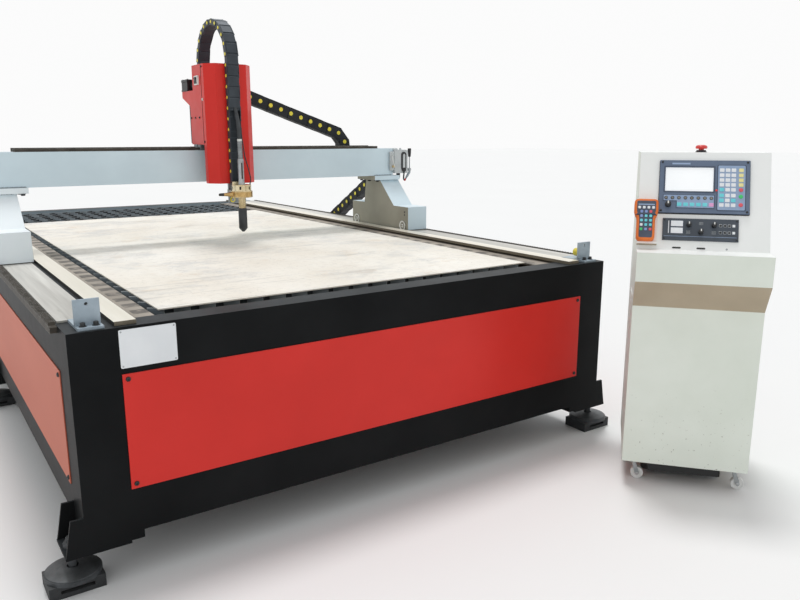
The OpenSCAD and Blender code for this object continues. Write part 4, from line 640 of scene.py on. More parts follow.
# Torch lead and wire, held at both ends
LEAD_R, WIRE_R = 9.0, 2.75
lead_path = smooth_path([(*TORCH, 1240), (TORCH[0], TORCH[1] + 1.5, 1262), (TORCH[0], 1317, 1300),
                         (1046, 1328, 1342), (1044, 1339, 1385), (1043, 1345, 1425)], 8)
shape = Shape()
shape.sweep(lead_path, LEAD_R, 20)
torch_lead = shape.piece("torch_lead", "lift", lead_black)
wire_path = smooth_path([(1080, 1287, 1033.4), (1083, 1284, 1062), (1077, 1290, 1105), (1066, 1300, 1165),
                         (1062, 1309, 1225), (1060, 1319, 1280), (1059, 1331, 1325), (1057, 1341, 1365)], 6)
shape = Shape()
shape.sweep(wire_path, WIRE_R, 10)
torch_wire = shape.piece("torch_wire", "lift", dark_plastic)

# Ribbed hose over the torch, with its white end ring
HOSE_L, RIBS, RIB_STEPS = 80.0, 11, 8
profile = [(5.0, 0.0)]
for i in range(RIBS):
    for k in range(RIB_STEPS):
        swell = math.sin(math.pi * k / RIB_STEPS) ** 0.7 if k else 0.0
        profile.append((9.0 + 2.0 * swell, (i + k / RIB_STEPS) * HOSE_L / RIBS))
shape = Shape()
shape.lathe((*TORCH, 1153.0), UP, profile + [(9.0, HOSE_L), (5.0, HOSE_L)], 28)
shape.mat = 1
shape.lathe((*TORCH, 1233), UP, [(9.6, 0), (11, 0.8), (11, 3.2), (10.3, 4.0), (11, 4.8), (11, 9.2), (10.2, 10),
                                 (8.8, 10)], 28)
shape.piece("torch_hose_ribbed", "lift", [hose_grey, white_plastic], ["torch_hose"])


# Cable chains
def cable_chain(name, start, headings, pitch, height, width, place, bodies, span, plates, link, dot,
                open_links=0):
    """Alternating side plates on pivots, cross covers on both sides and pivot caps.

    The first open_links have no front cover.
    """
    shape = Shape()
    at = Vector(start)
    lap, half, cover = pitch * 0.22, height / 2 - 0.6, 3.0
    inner = width / 2 - plates * 1.6
    for i, a in enumerate(headings):
        c, s = math.cos(math.radians(a)), math.sin(math.radians(a))

        def put(p, o=at, c=c, s=s):
            return place(o.x + p[0] * c - p[1] * s, o.y + p[0] * s + p[1] * c, p[2])

        shape.place = put
        shape.mat = 0
        outer = width / 2 - plates * 0.7 * (i % 2)
        first = 0.6 if i == 0 else -lap
        last = pitch - 0.6 if i == len(headings) - 1 else pitch + lap
        for side in (-1, 1):
            shape.plate(first, -half, last, half, half * 0.22, side * (outer - plates), side * outer, 0.6)
        for side in (-1, 1):
            if side > 0 and i < open_links:
                continue
            for h, s0, s1 in ((height / 2, 2.2, pitch - 2.2), (half - 3.4 - 0.8 * (i % 2), first, last)):
                n0, n1 = sorted((side * (h - cover), side * h))
                shape.block((s0, n0, -inner), (s1, n1, inner), 1.2)
        shape.mat = 1
        if i > 0:
            for side in (-1, 1):
                cap = side * (width / 2 - plates), side * (width / 2 + 0.8), 0.4
                shape.prism(circle(0, 0, dot / 2, 20), *cap)
        at = at + pitch * Vector((c, s))
    made = shape.piece(name + "_links", None, [link, chain_yellow], [name])
    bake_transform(made)


def headings_of(run, slope, flat, bend, back):
    """Headings of links that run down a slope, lie flat, bend round and run back."""
    first = 0.0 if flat else slope
    over = [slope / 2] + [0.0] * flat if flat else []
    turn = [first + (-180.0 - first) * (i + 1) / (bend + 1) for i in range(bend)]
    return [slope] * run + over + turn + [-180.0] * back


def corner_back(h, slope, turn):
    """How far a sloped link of height h is set back to clear its fixing."""
    s, t = math.radians(slope), math.radians(turn / 2)
    return max(0.0, h / 2 * (math.sin(-s) - math.tan(t) * math.cos(s)))


# The two long chains have equal links, given by pitch, height and width, and start at their brackets
LINK, LINK_PLATE, LINK_DOT, CHAIN_GAP = (62, 63, 60), 5.0, 22, 0.4
CHAIN_Y, X_SLOPE, X_BENDS, X_PLATE = 1740, -19, 4, 6
x_start = HEAD_X + COVER_W / 2 + X_PLATE + CHAIN_GAP
x_start += corner_back(LINK[1], X_SLOPE, (180 + X_SLOPE) / (X_BENDS + 1))
cable_chain("x_chain", (x_start, 1497), headings_of(11, X_SLOPE, 0, X_BENDS, 8), *LINK,
            lambda a, b, t: (a, CHAIN_Y + t, b), ("gantry", "head"),
            ((1163, CHAIN_Y, 1112), (1163, CHAIN_Y, 1470)), LINK_PLATE, chain_black, LINK_DOT)
CHAIN_X, Y_SLOPE, Y_BENDS, FLANGE_END, Y_BRACKET = 2140, -28.5, 5, 1688.095, 126
y_start = FLANGE_END + Y_BRACKET + CHAIN_GAP + corner_back(LINK[1], Y_SLOPE, 180 / (Y_BENDS + 1))
cable_chain("y_chain", (y_start, 1022), headings_of(10, Y_SLOPE, 4, Y_BENDS, 10), *LINK,
            lambda a, b, t: (CHAIN_X + t, a, b), ("table", "gantry"),
            ((CHAIN_X, 1822, 516), (CHAIN_X, 1822, 990)), LINK_PLATE, chain_black, LINK_DOT)
z_headings = [90.0] * 12 + [90 - 180 * (i + 1) / 12 for i in range(11)] + [-90.0] * 2
cable_chain("z_chain", (1345, 1046.4), z_headings, 48, 28, 60, lambda a, b, t: (HEAD_X + t, a, b),
            ("head", "lift"), ((HEAD_X, 1690, 1500), (HEAD_X, 1365, 1500)), 3.0, chain_slate, 15, 7)

# Panel screws, and cap screws of the stop brackets
SKIN = 3
shape = Shape()
for z in (292, 602):
    for x in (148, FRAME_W - 148):
        shape.screw((x, -SKIN, z), FRONT, 7, 5)
        shape.screw((x, FRAME_L + SKIN, z), BACK, 7, 5)
    for y in (148, 1782, 1918, 3552):
        shape.screw((-SKIN, y, z), LEFT, 7, 5)
        shape.screw((FRAME_W + SKIN, y, z), RIGHT, 7, 5)
for x in (50.12, 84.12, 1995.88, 2029.88):
    for y in (30, FRAME_L - 30):
        shape.lathe((x, y, 758), UP, [(10, 0), (10, 1.6), (7, 1.8), (7, 10), (6.2, 11), (3.6, 11),
                                      (3.4, 10.8, 6), (3.2, 6.5, 6), (0, 6.5)], 24)
shape.piece("panel_screws", "table", dark_plastic, ["frame_screws"])

# Domed upper faces of the levelling discs
shape = Shape()
for x in (-29, FRAME_W + 29):
    for y in FOOT_YS:
        shape.ring((x, y, 50), UP, [(16, 0), (75.5, 0), (74, 3), (58, 8), (30, 12), (16, 13)], 44)
shape.piece("foot_domes", "table", foot_steel)

# Bare plate on the front beam, with its four rivets
shape = Shape(lambda p: (p[0], -p[2], p[1]))
shape.plate(132, 633, 289, 742, 4, 0.0, 1.2, 0.4)
shape.mat = 1
for x in (138, 283):
    for z in (639, 736):
        shape.lathe((x, z, 1.2), UP, [(2.6, 0), (2.4, 0.7), (1.4, 1.3), (0, 1.5)], 16)
shape.piece("front_plate", "table", [label_white, zinc])

# Weld beads of the frame
shape = Shape()
for x in (160, FRAME_W - 160):
    for y in (90, FRAME_L - 90):
        shape.weld((x, y, 594), (x, y, 746), 4)
        shape.weld((x, y, 148), (x, y, 300), 4)
for x in (0, FRAME_W):
    for y in FOOT_YS:
        for e in (-62, 62):
            shape.weld((x, y + e, 124), (x, y + e, 222), 4)
shape.piece("frame_welds", "table", weld_black)

# Bolts, small screws and welds of the gantry
CAP_Z = 1016
shape = Shape()
for inward, across in SIDES:
    for y in (1512, 1596, 1680):
        shape.bolt((across(141), y, CAP_Z), DOWN, 9, 9)
    for z in (839, 855):
        shape.screw((across(118), 1278, z), (inward, 0, 0), 4, 2.5)
    for y in (1527, 1594, 1662):
        shape.screw((across(150), y, CAP_Z), DOWN, 5, 4)
shape.piece("gantry_bolts", "gantry", dark_plastic)
shape = Shape()
for inward, across in SIDES:
    for y in (1522, 1669):
        shape.weld((across(4), y, 1015), (across(110), y, 1015), 4)
    shape.weld((across(118), 1526, 1014.5), (across(118), 1665, 1014.5), 4.5)
    for y in (1520, 1670):
        shape.weld((across(44), y, 1041.5), (across(158), y, 1041.5), 4)
shape.piece("gantry_welds", "gantry", weld_grey)

# Running wheels with a flanged tread, a web and a hub
for name, y in (("front_wheels", 1295), ("rear_wheels", 1772)):
    shape = Shape()
    for inward, across in SIDES:
        at, axis = (across(123), y, 780.0), (inward, 0, 0)
        shape.mat = 0
        shape.ring(at, axis, [(19, -18), (21.5, -18), (23.7, -16.5), (23.7, -3.4), (26.4, -3.2), (26.8, -1),
                              (26, 0), (20.5, 0), (19, -2.2)], 48)
        shape.ring(at, axis, [(6.1, -18), (10, -18), (10, -2.2), (9.4, 0.3), (6.1, 0.3)], 40)
        shape.mat = 1
        shape.ring(at, axis, [(9.6, -17.4), (19.4, -17.4), (19.4, -2.2), (9.6, -2.2)], 40)
    shape.piece(name + "_treads", name, [white_plastic, wheel_web], [name])

# Cutting head: switch, screws, seams and motor details
shape = Shape(lambda p: (HEAD_SIDES[0][0] - p[2], p[0], p[1]))
shape.plate(1466, 1490, 1514, 1532, 5, 0.0, 9.0, 1.5)
shape.mat = 1
shape.plate(1474, 1496, 1506, 1526, 3, 8.0, 11.0, 1.0)
shape.mat = 2
rocker = ((1499, 9.5), (1511, 11.2), (1523, 15.0), (1523, 9.0), (1499, 9.0))
shape.rings([[(y, z, n) for z, n in rocker] for y in (1478, 1502)], True)
shape.piece("head_switch", "head", [white_plastic, slot_dark, dark_plastic])
shape = Shape()
for y in (1595, 1539, 1484):
    shape.screw((HEAD_SIDES[0][0], y, 1342), LEFT, 5, 3.5)
for x, axis in HEAD_SIDES:
    for z in (1230, 1570):
        shape.screw((x, 1430, z), axis, 5, 3.5)
for z in (1260, 1330):
    shape.screw((HEAD_SIDES[1][0], 1484, z), RIGHT, 5, 3.5)
shape.mat = 1
for x, axis in HEAD_SIDES:
    shape.screw((x, 1431, 1423), axis, 6.5, 4.5)
shape.piece("head_screws", "head", [dark_plastic, white_plastic])
shape = Shape()
for x in (924.6, 1155.4):
    shape.sweep([(x, 1440, 1220 + 6 * i) for i in range(61)], 0.9, 6)
shape.piece("head_seams", "head", slot_dark)
shape = Shape()
shape.block((923, 1630, 1469), (1007, 1714, 1478), 1.5)
shape.block((923, 1630, 1512), (1007, 1714, 1525), 2.0)
shape.mat = 1
for x in (930, 1000):
    for y in (1637, 1707):
        shape.lathe((x, y, 1525), UP, [(4, 0), (4, 2.4), (2.4, 2.6), (2.2, 2.4, 6), (2.0, 1.2, 6),
                                       (0, 1.2)], 18)
shape.mat = 0
shape.lathe((965, 1592, 1496), FRONT, [(22.6, -30), (22.6, -6), (20, -4), (20, 2), (14, 4), (9, 12), (8, 18),
                                       (0, 18)], 28)
for i in range(5):
    shape.ring((965, 1601 + i * 6, 1496), BACK, [(21.8, 0), (23.4, 0.6), (23.4, 2.6), (21.8, 3.2)], 28)
shape.piece("motor_details", "head", [motor_black, steel])

# Torch: collar rings, slots and prong, nozzle cup, sleeve, washer on the lift tongue
shape = Shape()
shape.ring((*TORCH, 975), UP, [(46, -1.2), (50.6, 1), (50.6, 3), (48.5, 4), (48.5, 24), (50.6, 26),
                               (50.6, 28.4), (46, 29.2)], 56)
shape.ring((*TORCH, 1004), UP, [(40, 24), (45.2, 25), (45.2, 28), (40, 29.6)], 56)
shape.mat = 1
for i in range(6):
    a = math.radians(60 * i)
    d = Vector((math.cos(a), math.sin(a), 0))
    t = Vector((-d.y, d.x, 0))
    mid = Vector((*TORCH, 1018.5)) + d * 39.4
    shape.add([tuple(mid + t * u + Vector((0, 0, w)) + d * n) for n in (0, 0.8) for u, w in
               ((-4.3, -7), (4.3, -7), (4.3, 7), (-4.3, 7))],
              [(0, 1, 2, 3), (4, 5, 6, 7), (0, 1, 5, 4), (1, 2, 6, 5), (2, 3, 7, 6), (3, 0, 4, 7)])
shape.mat = 2
prong = ((1012, 988), (996, 988.4), (980, 989), (968, 989.4), (956, 989.6))
shape.sweep([(x, TORCH[1], z) for x, z in prong], [15, 12.5, 9.5, 7.8, 7], 20)
shape.mat = 1
shape.sweep([(x, TORCH[1], 989.6) for x in (957, 950, 941, 934.6)], [7.2, 7, 6.4, 5.6], 20)
shape.piece("torch_collar", "lift", [brass, slot_dark, prong_brass])
shape = Shape()
shape.lathe((*TORCH, 811), UP, [(2.2, 3), (2.6, 0.0), (5.4, 0.0), (6.4, 1.2), (18.6, 14.8), (20, 17.5),
                                (20, 60), (19.3, 61), (20, 62), (20, 104), (19.4, 107), (18, 112),
                                (17, 112)], 44)
shape.piece("torch_nozzle", "lift", tip_dark, ["torch_tip"])
shape = Shape()
shape.lathe((*TORCH, 1033), UP, [(14, 0), (17, 0.5), (17, 7), (14.4, 8), (14.4, 100), (15.6, 101), (15.6, 112),
                                 (14.4, 113), (14.4, 119), (12, 120)], 36)
shape.mat = 1
shape.block((1043.5, 1294.6, 1060), (1050.5, 1296.4, 1138), 0.4)
shape.piece("torch_sleeve", "lift", [steel, slot_dark])
shape = Shape()
shape.lathe((1052, 1440, 954), FRONT, [(13, 0), (13, 1.6), (12, 2.0), (8.4, 2.1)], 28)
shape.mat = 1
shape.lathe((1052, 1440, 954), FRONT, [(8.2, 1.9, 6), (8.2, 7.4, 6), (7, 8.4), (0, 8.4)], 24)
shape.piece("tongue_washer", "lift", [chain_yellow, steel])

# Oil pump: sight glass, caps, mounting ear, fittings, drop tube and lever
PUMP_FACE, SIGHT_X, LEVER = 1500.5, 2110, (2170, 1529.2)
shape = Shape(lambda p: (p[0], PUMP_FACE - p[2], p[1]))
shape.prism(upright(SIGHT_X, 1082, 1153, 17), 0, 5, 1.5)
shape.mat = 1
shape.prism(upright(SIGHT_X, 1084, 1151, 7.5), 4.8, 5.6, 0.3)
shape.mat = 0
shape.lathe((SIGHT_X, 1070, 0), UP, [(12, 0), (12, 8), (9.5, 10.5), (0, 11)], 28)
shape.piece("pump_sight", "gantry", [dark_plastic, pump_cast])
shape = Shape()
shape.lathe((2070, 1530, 1179), UP, [(17, 0), (17, 3), (15, 5), (15, 9), (11, 12), (0, 13)], 28)
shape.lathe((2113, 1540, 1179), UP, [(9, 0), (9, 3), (6, 4), (6, 9), (4, 12), (0, 12.5)], 24)
shape.plate(2052, 1504, 2134, 1567, 7, 1178.5, 1181.5, 1.0)
shape.block((2021, 1503, 1066), (2054, 1517, 1172), 3.0)
shape.lathe((2034, 1503, 1158), FRONT, [(6, -0.2), (6, 3), (4.5, 4.4), (0, 4.6)], 20)
shape.mat = 1
shape.lathe((2038, 1503, 1090), FRONT, [(8, -0.2, 6), (8, 6, 6), (5.5, 7), (5.5, 13), (3.2, 14), (3.2, 18),
                                        (0, 18)], 24)
shape.mat = 2
shape.sweep(smooth_path([(2038, 1487, 1090), (2034, 1485, 1102), (2030, 1489, 1122), (2032, 1497, 1142),
                         (2036, 1502, 1149)], 6), 2.4, 10)
shape.mat = 3
cone_axis = (-36, -0.5, -50)
shape.lathe((2162, 1513.5, 1060), cone_axis, [(3, 0), (6.5, 1), (7.5, 14), (6.5, 34), (3.4, 56), (0, 56)], 20)
shape.mat = 4
shape.lathe((2130.5, 1513, 1016.2), cone_axis, [(4.4, -2), (5.6, 0), (6, 6), (4.6, 11), (0, 12)], 20)
shape.mat = 5
shape.sweep(smooth_path([(SIGHT_X, 1496, 1066), (2109, 1496, 1048), (2109, 1499, 1030), (2114, 1506, 1018),
                         (2121, 1511, 1012)], 6), 4.2, 12)
shape.piece("pump_details", "gantry", [pump_cast, brass, white_plastic, weld_grey, stop_red, dark_plastic])
shape = Shape()
shape.sweep([(*LEVER, z) for z in (1069, 1090, 1110, 1130, 1150)], 3.6, 14)
shape.ring((LEVER[0], 1523.2, 1069), BACK, [(4.1, 0), (8, 0), (9, 1), (9, 11), (8, 12), (4.1, 12)], 28)
shape.mat = 1
shape.lathe((*LEVER, 1140), UP, [(4, 0), (6.5, 1), (8, 5), (9.4, 26), (10.4, 45), (9, 48.6), (0, 49)], 24)
shape.piece("pump_lever_rod", "oil_pump_lever", [zinc, dark_plastic], ["oil_pump_lever"])

# Console: places in its own frame, and on its sloped face
CONSOLE_AT, CONSOLE_YAW = (1921, -553), math.radians(-50)
CONSOLE_W, CONSOLE_H, TOP_BACK, SLOPE_AT = 428, 1199, 170, (20, 872)
CU = (math.cos(CONSOLE_YAW), math.sin(CONSOLE_YAW))
CV = (-CU[1], CU[0])
SLOPE = math.atan2(CONSOLE_H - SLOPE_AT[1], TOP_BACK - SLOPE_AT[0])
SLOPE_L = math.hypot(CONSOLE_H - SLOPE_AT[1], TOP_BACK - SLOPE_AT[0])


def in_console(p):
    return (CONSOLE_AT[0] + p[0] * CU[0] + p[1] * CV[0], CONSOLE_AT[1] + p[0] * CU[1] + p[1] * CV[1], p[2])


def on_slope(p):
    c, s = math.cos(SLOPE), math.sin(SLOPE)
    return in_console((p[0], SLOPE_AT[0] + p[1] * c - p[2] * s, SLOPE_AT[1] + p[1] * s + p[2] * c))


# Controller: bezel BX, BY of size BW, BH and thickness BT, with two key fields
BX, BW, BH, BT = -147.0, 294.0, 194.0, 8.0
BY = SLOPE_L - 33 - BH
FIELD, CAP = (BT + 0.6, BT + 1.2, 0.2), (BT + 1.0, BT + 2.6, 0.6)
CONSOLE_KEYS = "WYRGCP"
px, py, pw, ph = BX + 0.641 * BW, BY + 0.05 * BH, 0.317 * BW, 0.867 * BH
rx, ry, rw, rh = BX + 0.045 * BW, BY + 0.085 * BH, 0.575 * BW, 0.258 * BH


def lower_field(d):
    """Outline of the lower key field with its cut corner, inset by d."""
    x, y = rx + rw * 0.26 + d, ry + rh / 2 + d
    right, top = rx + rw - d, ry + rh - d
    return [(x, ry + d), (right, ry + d), (right, top), (rx + d, top), (rx + d, y), (x, y)]


def key_mat(kind):
    return 2 + CONSOLE_KEYS.index(kind)


def square_key(x, y):
    kw, kh = pw * 0.16, BH * 0.066
    shape.plate(x - kw / 2, y - kh / 2, x + kw / 2, y + kh / 2, 2, *CAP)


shape = Shape(on_slope)
shape.plate(px, py, px + pw, py + ph, 5, BT, BT + 0.8, 0.3)
shape.prism(lower_field(0), BT, BT + 0.8, 0.3)
shape.mat = 1
shape.plate(px + 3, py + 3, px + pw - 3, py + ph - 3, 4, *FIELD)
shape.prism(lower_field(2.5), *FIELD)
rows_up = [0.122, 0.226, 0.33, 0.455, 0.561, 0.664, 0.77, 0.88]
for r, line in zip(rows_up, ["WWW ", "CWC ", "CWW ", "CWW "] + ["WWWY"] * 4):
    for c, kind in zip([0.165, 0.366, 0.566, 0.824], line):
        if kind != " ":
            shape.mat = key_mat(kind)
            square_key(px + pw * c, py + ph * r)
for r, kind in ((0.13, "R"), (0.31, "G"), (0.452, "R")):
    shape.mat = key_mat(kind)
    shape.lathe((px + pw * 0.824, py + ph * r, BT), UP, [(7, 1), (7, 2.2), (6.2, 2.6), (0, 2.4)], 24)
for i in range(8):
    at = (rx + rw * (i + 0.5) / 8, ry + rh * 0.75, BT)
    shape.mat = 8
    shape.ring(at, UP, [(4.2, 1), (5.9, 1), (5.9, 2.2), (5.4, 2.6), (4.4, 2.6)], 24)
    shape.mat = 9
    shape.lathe(at, UP, [(4.4, 1), (4.4, 2.2), (3.6, 2.5), (0, 2.4)], 20)
for i in range(6):
    shape.mat = key_mat("C" if i < 5 else "P")
    square_key(rx + rw * (0.26 + 0.74 * (i + 0.5) / 6), ry + rh * 0.27)
shape.piece("controller_keypad", "console",
            [bezel_dark, field_blue, *(keys[k] for k in CONSOLE_KEYS), dark_plastic, keys["N"]],
            ["controller_keys"])

# Bezel trim: screen surround, corner screws, lamp, bare strip and rim
sx, sy = BX + 0.065 * BW, BY + 0.41 * BH
shape = Shape(on_slope)
shape.surround(rounded(sx - 5, sy - 5, sx + 163, sy + 93, 3),
               rounded(sx - 0.5, sy - 0.5, sx + 158.5, sy + 88.5, 1), BT - 0.2, BT + 0.8, BT - 2.5)
shape.mat = 1
for x in (BX + 8, BX + BW - 8):
    for y in (BY + 7, BY + BH - 7):
        shape.screw((x, y, BT), UP, 4, 2.2)
shape.surround(rounded(BX - 1.5, BY - 3.5, BX + BW + 1.5, BY + BH + 1.5, 4),
               rounded(BX + 1, BY + 1, BX + BW - 1, BY + BH - 1, 3), -0.2, 2.0, -0.2)
shape.mat = 2
shape.lathe((sx + 168, sy + 4, BT), UP, [(4, 0), (4, 1), (3, 2.2), (0, 2.6)], 20)
shape.mat = 3
shape.plate(-107, 311, -47, 317, 1, BT, BT + 0.5, 0.1)
shape.piece("bezel_trim", "console", [bezel_dark, dark_plastic, lamp_red, field_blue])


# Knobs with fluted skirts and white pointers
def knob(name, node, x, y, n0, r, h):
    shape = Shape(on_slope)
    flutes, steps = 14, 56
    outline = []
    for i in range(steps):
        a = 2 * math.pi * i / steps
        k = r - 0.55 * (0.5 + 0.5 * math.cos(flutes * a))
        outline.append((k * math.cos(a) + x, k * math.sin(a) + y))
    shape.lathe((x, y, n0), UP, [(r, 0.3), (r, 2.0), (r * 0.93, 2.6)], 40)
    shape.prism(outline, n0 + 2, n0 + h - 0.6, 0.8)
    shape.lathe((x, y, n0 + h - 0.8), UP, [(r * 0.8, 0), (r * 0.8, 0.7), (r * 0.7, 1.0), (0, 1.05)], 32)
    shape.mat = 1
    w, tip = r * 0.22, r * 0.98
    shape.prism([(x - w, y), (x + w, y), (x + w, y + tip), (x - w, y + tip)], n0 + h - 3.0, n0 + h + 0.5, 0.2)
    shape.piece(name, node, [dark_plastic, white_plastic], [node])


knob("dial_knob", "controller_knob", BX + 0.105 * BW, BY + 0.145 * BH, BT, 10, 14.3)
TX, TW, TH, TT = -130.5, 245.0, 79.0, 5.0
TY = BY - 20 - TH
for side, u, v in (("left", 0.35, 0.7), ("middle", 0.51, 0.38), ("right", 0.68, 0.7)):
    knob("thc_%s_fluted" % side, "thc_knob_" + side, TX + TW * u, TY + TH * v, TT, 8, 16.3)

# Height control panel: displays, light bar, small keys, marks, lower line and screws
shape = Shape(on_slope)
for y0, y1 in ((TY + 50, TY + 70), (TY + 25, TY + 45)):
    shape.mat = 0
    shape.plate(-105, y0 - 1.5, -62, y1 + 1.5, 2, TT, TT + 0.8, 0.3)
    shape.mat = 1
    shape.plate(-103.3, y0, -64, y1, 1, TT + 0.6, TT + 1.3, 0.2)
shape.plate(-112, TY + 25, -109, TY + 70, 1, TT, TT + 0.6, 0.2)
for y in (TY + 56, TY + 31):
    for i in range(4):
        shape.mat = 2
        shape.plate(52 + 14 * i, y - 5, 62 + 14 * i, y + 5, 1.5, TT, TT + 1.0, 0.3)
        shape.mat = 4 if i < 3 else 1
        shape.plate(53.2 + 14 * i, y - 3.8, 60.8 + 14 * i, y + 3.8, 1, TT + 0.8, TT + 1.5, 0.3)
shape.mat = 2
for u, w in ((-46, TY + 30), (-5, TY + 62), (36, TY + 30)):
    for k in range(3):
        shape.plate(u - 7, w - 4.6 + 4 * k, u + 7, w - 3.4 + 4 * k, 0.5, TT, TT + 0.4, 0.1)
shape.mat = 3
shape.plate(TX + 5, TY + 14, TX + TW - 5, TY + 15.2, 0.5, TT, TT + 0.4, 0.1)
shape.mat = 4
for x in (TX + 6, TX + TW - 6):
    for y in (TY + 6, TY + TH - 6):
        shape.screw((x, y, TT), UP, 3, 1.6)
shape.piece("thc_face", "console", [bezel_dark, keys["W"], zinc, field_blue, dark_plastic])

# Slots and dot at the foot of the slope
shape = Shape(on_slope)
for u in (-82, -3):
    shape.plate(u - 14, 5, u + 14, 11, 2.5, -0.1, 0.6, 0.2)
shape.mat = 1
shape.lathe((79, 8, 0), UP, [(3.4, 0), (3.4, 0.6), (2.6, 1.0), (0, 1.0)], 20)
shape.piece("slope_slots", "console", [slot_dark, zinc])

# Stop button: mushroom head and its collar
button = (CONSOLE_W * -0.017, TOP_BACK + 230 * 0.22, CONSOLE_H)
shape = Shape(in_console)
shape.lathe(button, UP, [(9, -10), (9, 12), (17.5, 12.2), (20, 14), (20, 18), (19, 21.5), (15, 24.6), (8, 25.8),
                         (0, 26)], 44)
shape.piece("stop_mushroom", "e_stop_button", stop_red, ["e_stop_button"])
shape = Shape(in_console)
shape.ring(button, UP, [(9.3, 0), (19.5, 0), (19.5, 2), (16.4, 3.2), (16.2, 7.2), (9.3, 7.2)], 40)
shape.piece("stop_collar", "console", dark_plastic)

# Hand pendant: moulded rubber boot, face and keys
PX, PY, PW, PL = -CONSOLE_W / 2 - 14.0, BY - 20 - TH * 1.15, 80.0, 150.0


def pendant_outline(d):
    """Outline with a narrow grip and round corners, inset by d."""
    low, cx = PW / 2 - PW * 0.115, PX + PW / 2
    half = [(low, 0, 16), (low, PL * 0.55, 10), (PW / 2, PL * 0.66, 10), (PW / 2, PL, 15)]
    corners = [(cx + x, PY + y, r) for x, y, r in half] + [(cx - x, PY + y, r) for x, y, r in half[::-1]]
    out, n = [], len(corners)
    for i, (x, y, r) in enumerate(corners):
        p, a, b = Vector((x, y)), Vector(corners[i - 1][:2]), Vector(corners[(i + 1) % n][:2])
        p0, p1 = p + (a - p).normalized() * r, p + (b - p).normalized() * r
        for k in range(6):
            t = k / 5
            out.append(tuple(p0 * (1 - t) ** 2 + p * 2 * t * (1 - t) + p1 * t * t))
    return inset(out, d) if d else out


shape = Shape(on_slope)
boot = [(3.5, 8.0), (0.8, 10.5), (0.0, 14.0), (0.0, 29.0), (0.8, 33.0), (3.0, 35.5), (5.5, 36.0)]
shape.rings([level(pendant_outline(d), n) for d, n in boot], True)
shape.mat = 1
shape.prism(pendant_outline(8.5), 35.6, 36.6, 0.3)
shape.mat = 2
cx = PX + PW / 2
shape.plate(cx - 27, PY + 126, cx + 27, PY + 130, 1, 36.4, 37.0, 0.1)
PENDANT_KEYS = "WBRCG"
for y, kinds, span in ((117, "WWWW", 46), (102, "BBR", 30), (86, "BCC", 30), (70, "CCC", 30), (54, "WCC", 30),
                       (38, "GBR", 30)):
    for i, kind in enumerate(kinds):
        x = cx - span / 2 + span * i / (len(kinds) - 1)
        shape.mat = 3 + PENDANT_KEYS.index(kind)
        shape.plate(x - 4.6, PY + y - 4.6, x + 4.6, PY + y + 4.6, 2.4, 36.4, 38.2, 0.7)
shape.piece("pendant_boot", "pendant",
            [orange_rubber, pendant_slate, field_blue, *(keys[k] for k in PENDANT_KEYS)],
            ["pendant"])

# Louvres on the console's left side
LEFT_U, BACK_V = -CONSOLE_W / 2, 403
shape = Shape(in_console)
for z in range(690, 559, -26):
    shape.rings([[(LEFT_U + 0.2, v, z + 9), (LEFT_U - 1.5 * k, v, z + 8), (LEFT_U - 5.5 * k, v, z - 6),
                  (LEFT_U - 4.5 * k, v, z - 8), (LEFT_U + 0.2, v, z - 8)]
                 for v, k in ((60, 0.2), (70, 1.0), (190, 1.0), (200, 0.2))], True)
shape.piece("side_louvres", "console", console_paint)

# Screws, slots and lock of the console's back
shape = Shape(in_console)
for u in (-196, 196):
    for z in (115, 640, 1165):
        shape.screw((u, BACK_V, z), BACK, 5, 3.2)
shape.lathe((0, BACK_V, 760), BACK, [(14, 0), (14, 2.5), (11, 4), (4, 4.2), (4, 3, 6), (0, 3)], 28)
shape.mat = 1
for i in range(8):
    shape.block((-90, BACK_V - 0.5, 300 + 22 * i), (90, BACK_V + 3.0, 306 + 22 * i), 1.2)
shape.piece("back_trim", "console", [zinc, slot_dark])

# Lower skirt of the console's plinth, set back behind the front casters
shape = Shape(in_console)
shape.block((-140, 102, 15), (140, 383, 70), 1.5)
shape.piece("plinth_skirt", "console", slot_dark)

# Caster wheels with tread and hub, and their axle nuts
CASTER_US, FRONT_V, REAR_V, TRAIL, CASTER_R, FORK = (-174, 174), 55, 344, 18, 23, 14
TREAD = [(4.1, -10), (8, -10), (9, -8.4), (17, -8.4), (18.5, -10), (21.5, -10), (CASTER_R, -7.5)]
TREAD += [(r, -h) for r, h in TREAD[::-1]]
NUT = [(6.5, 0, 6), (6.5, 3, 6), (5, 3.6), (0, 3.6)]
for side, u in zip(("left", "right"), CASTER_US):
    shape = Shape(in_console)
    shape.ring((u + TRAIL, FRONT_V, CASTER_R), BACK, TREAD, 44)
    shape.piece(side + "_caster_tread", side + "_caster_wheel", caster_white, [side + "_caster_wheel"])
    shape = Shape(in_console)
    for d in (-1, 1):
        shape.lathe((u + TRAIL, FRONT_V + d * FORK, CASTER_R), (0, d, 0), NUT, 18)
    shape.ring((u, FRONT_V, 79), UP, [(13, -4), (15.5, -4), (15.5, 0), (13, 0.5)], 32)
    shape.piece(side + "_caster_nuts", side + "_caster", steel)
shape = Shape(in_console)
for u in CASTER_US:
    shape.ring((u, REAR_V, CASTER_R), RIGHT, TREAD, 44)
shape.piece("rear_caster_treads", "rear_caster_wheels", caster_white, ["rear_caster_wheels"])
shape = Shape(in_console)
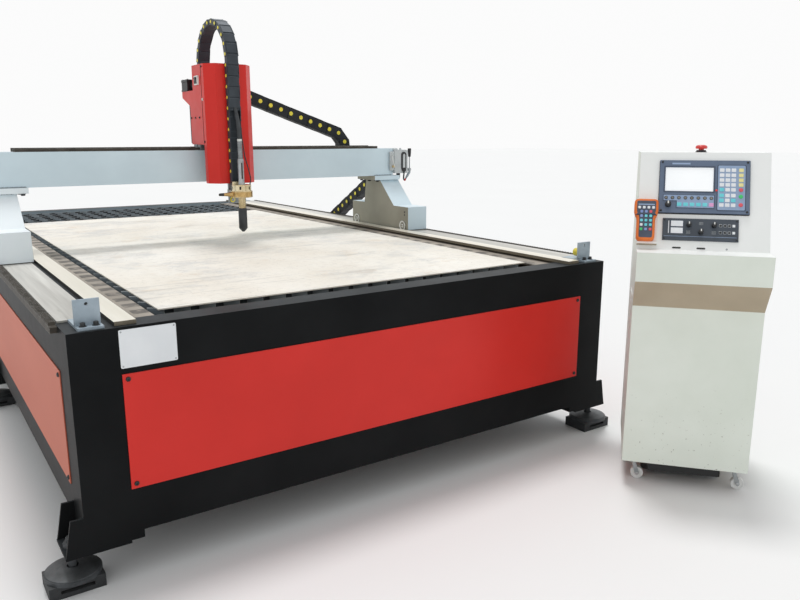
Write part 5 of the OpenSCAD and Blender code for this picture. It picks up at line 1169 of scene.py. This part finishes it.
for u in CASTER_US:
    for d in (-1, 1):
        shape.lathe((u + d * FORK, REAR_V, CASTER_R), (d, 0, 0), NUT, 18)
shape.piece("rear_caster_nuts", "console", steel)

# Floor and light
FLOOR_REACH = 60
SOFT_LIGHT, SHOWN = ((0.97, 0.985, 1.0, 1.0), 0.68), ((0.97, 0.97, 0.97, 1.0), 1.0)
SUN_ENERGY, SUN_ANGLE, SUN_TO = 1.3, math.radians(16), (-0.1, -0.24, -0.96)
f = Finish("pale_floor")
f.shade({"Base Color": f.mix(f.noise(0.6, 3.0), tone("#f0f0ef"), tone("#f3f3f2")), "Roughness": 0.9,
         "Specular IOR Level": 0.1})
mesh = bpy.data.meshes.new("floor")
mesh.from_pydata([(x * FLOOR_REACH, y * FLOOR_REACH, 0) for x, y in ((-1, -1), (1, -1), (1, 1), (-1, 1))],
                 [], [(0, 1, 2, 3)])
mesh.materials.append(f.material)
floor = bpy.data.objects.new("floor", mesh)
bpy.context.scene.collection.objects.link(floor)
world = bpy.data.worlds.new("studio")
bpy.context.scene.world = world
world.use_nodes = True
tree = world.node_tree
tree.nodes.clear()
rays = add_node(tree, "ShaderNodeLightPath").outputs
seen = rays["Is Camera Ray"]
for ray in ("Is Glossy Ray", "Is Transmission Ray"):
    seen = add_node(tree, "ShaderNodeMath", {0: seen, 1: rays[ray]}, operation="MAXIMUM").outputs[0]
soft, shown = (add_node(tree, "ShaderNodeBackground", {"Color": colour, "Strength": strength}).outputs[0]
               for colour, strength in (SOFT_LIGHT, SHOWN))
choose = add_node(tree, "ShaderNodeMixShader", {0: seen, 1: soft, 2: shown})
add_node(tree, "ShaderNodeOutputWorld", {0: choose.outputs[0]})
sun = bpy.data.lights.new("key", "SUN")
sun.energy, sun.angle = SUN_ENERGY, SUN_ANGLE
lamp = bpy.data.objects.new("key", sun)
lamp.rotation_mode = "QUATERNION"
lamp.rotation_quaternion = Vector(SUN_TO).to_track_quat("-Z", "Y")
bpy.context.scene.collection.objects.link(lamp)
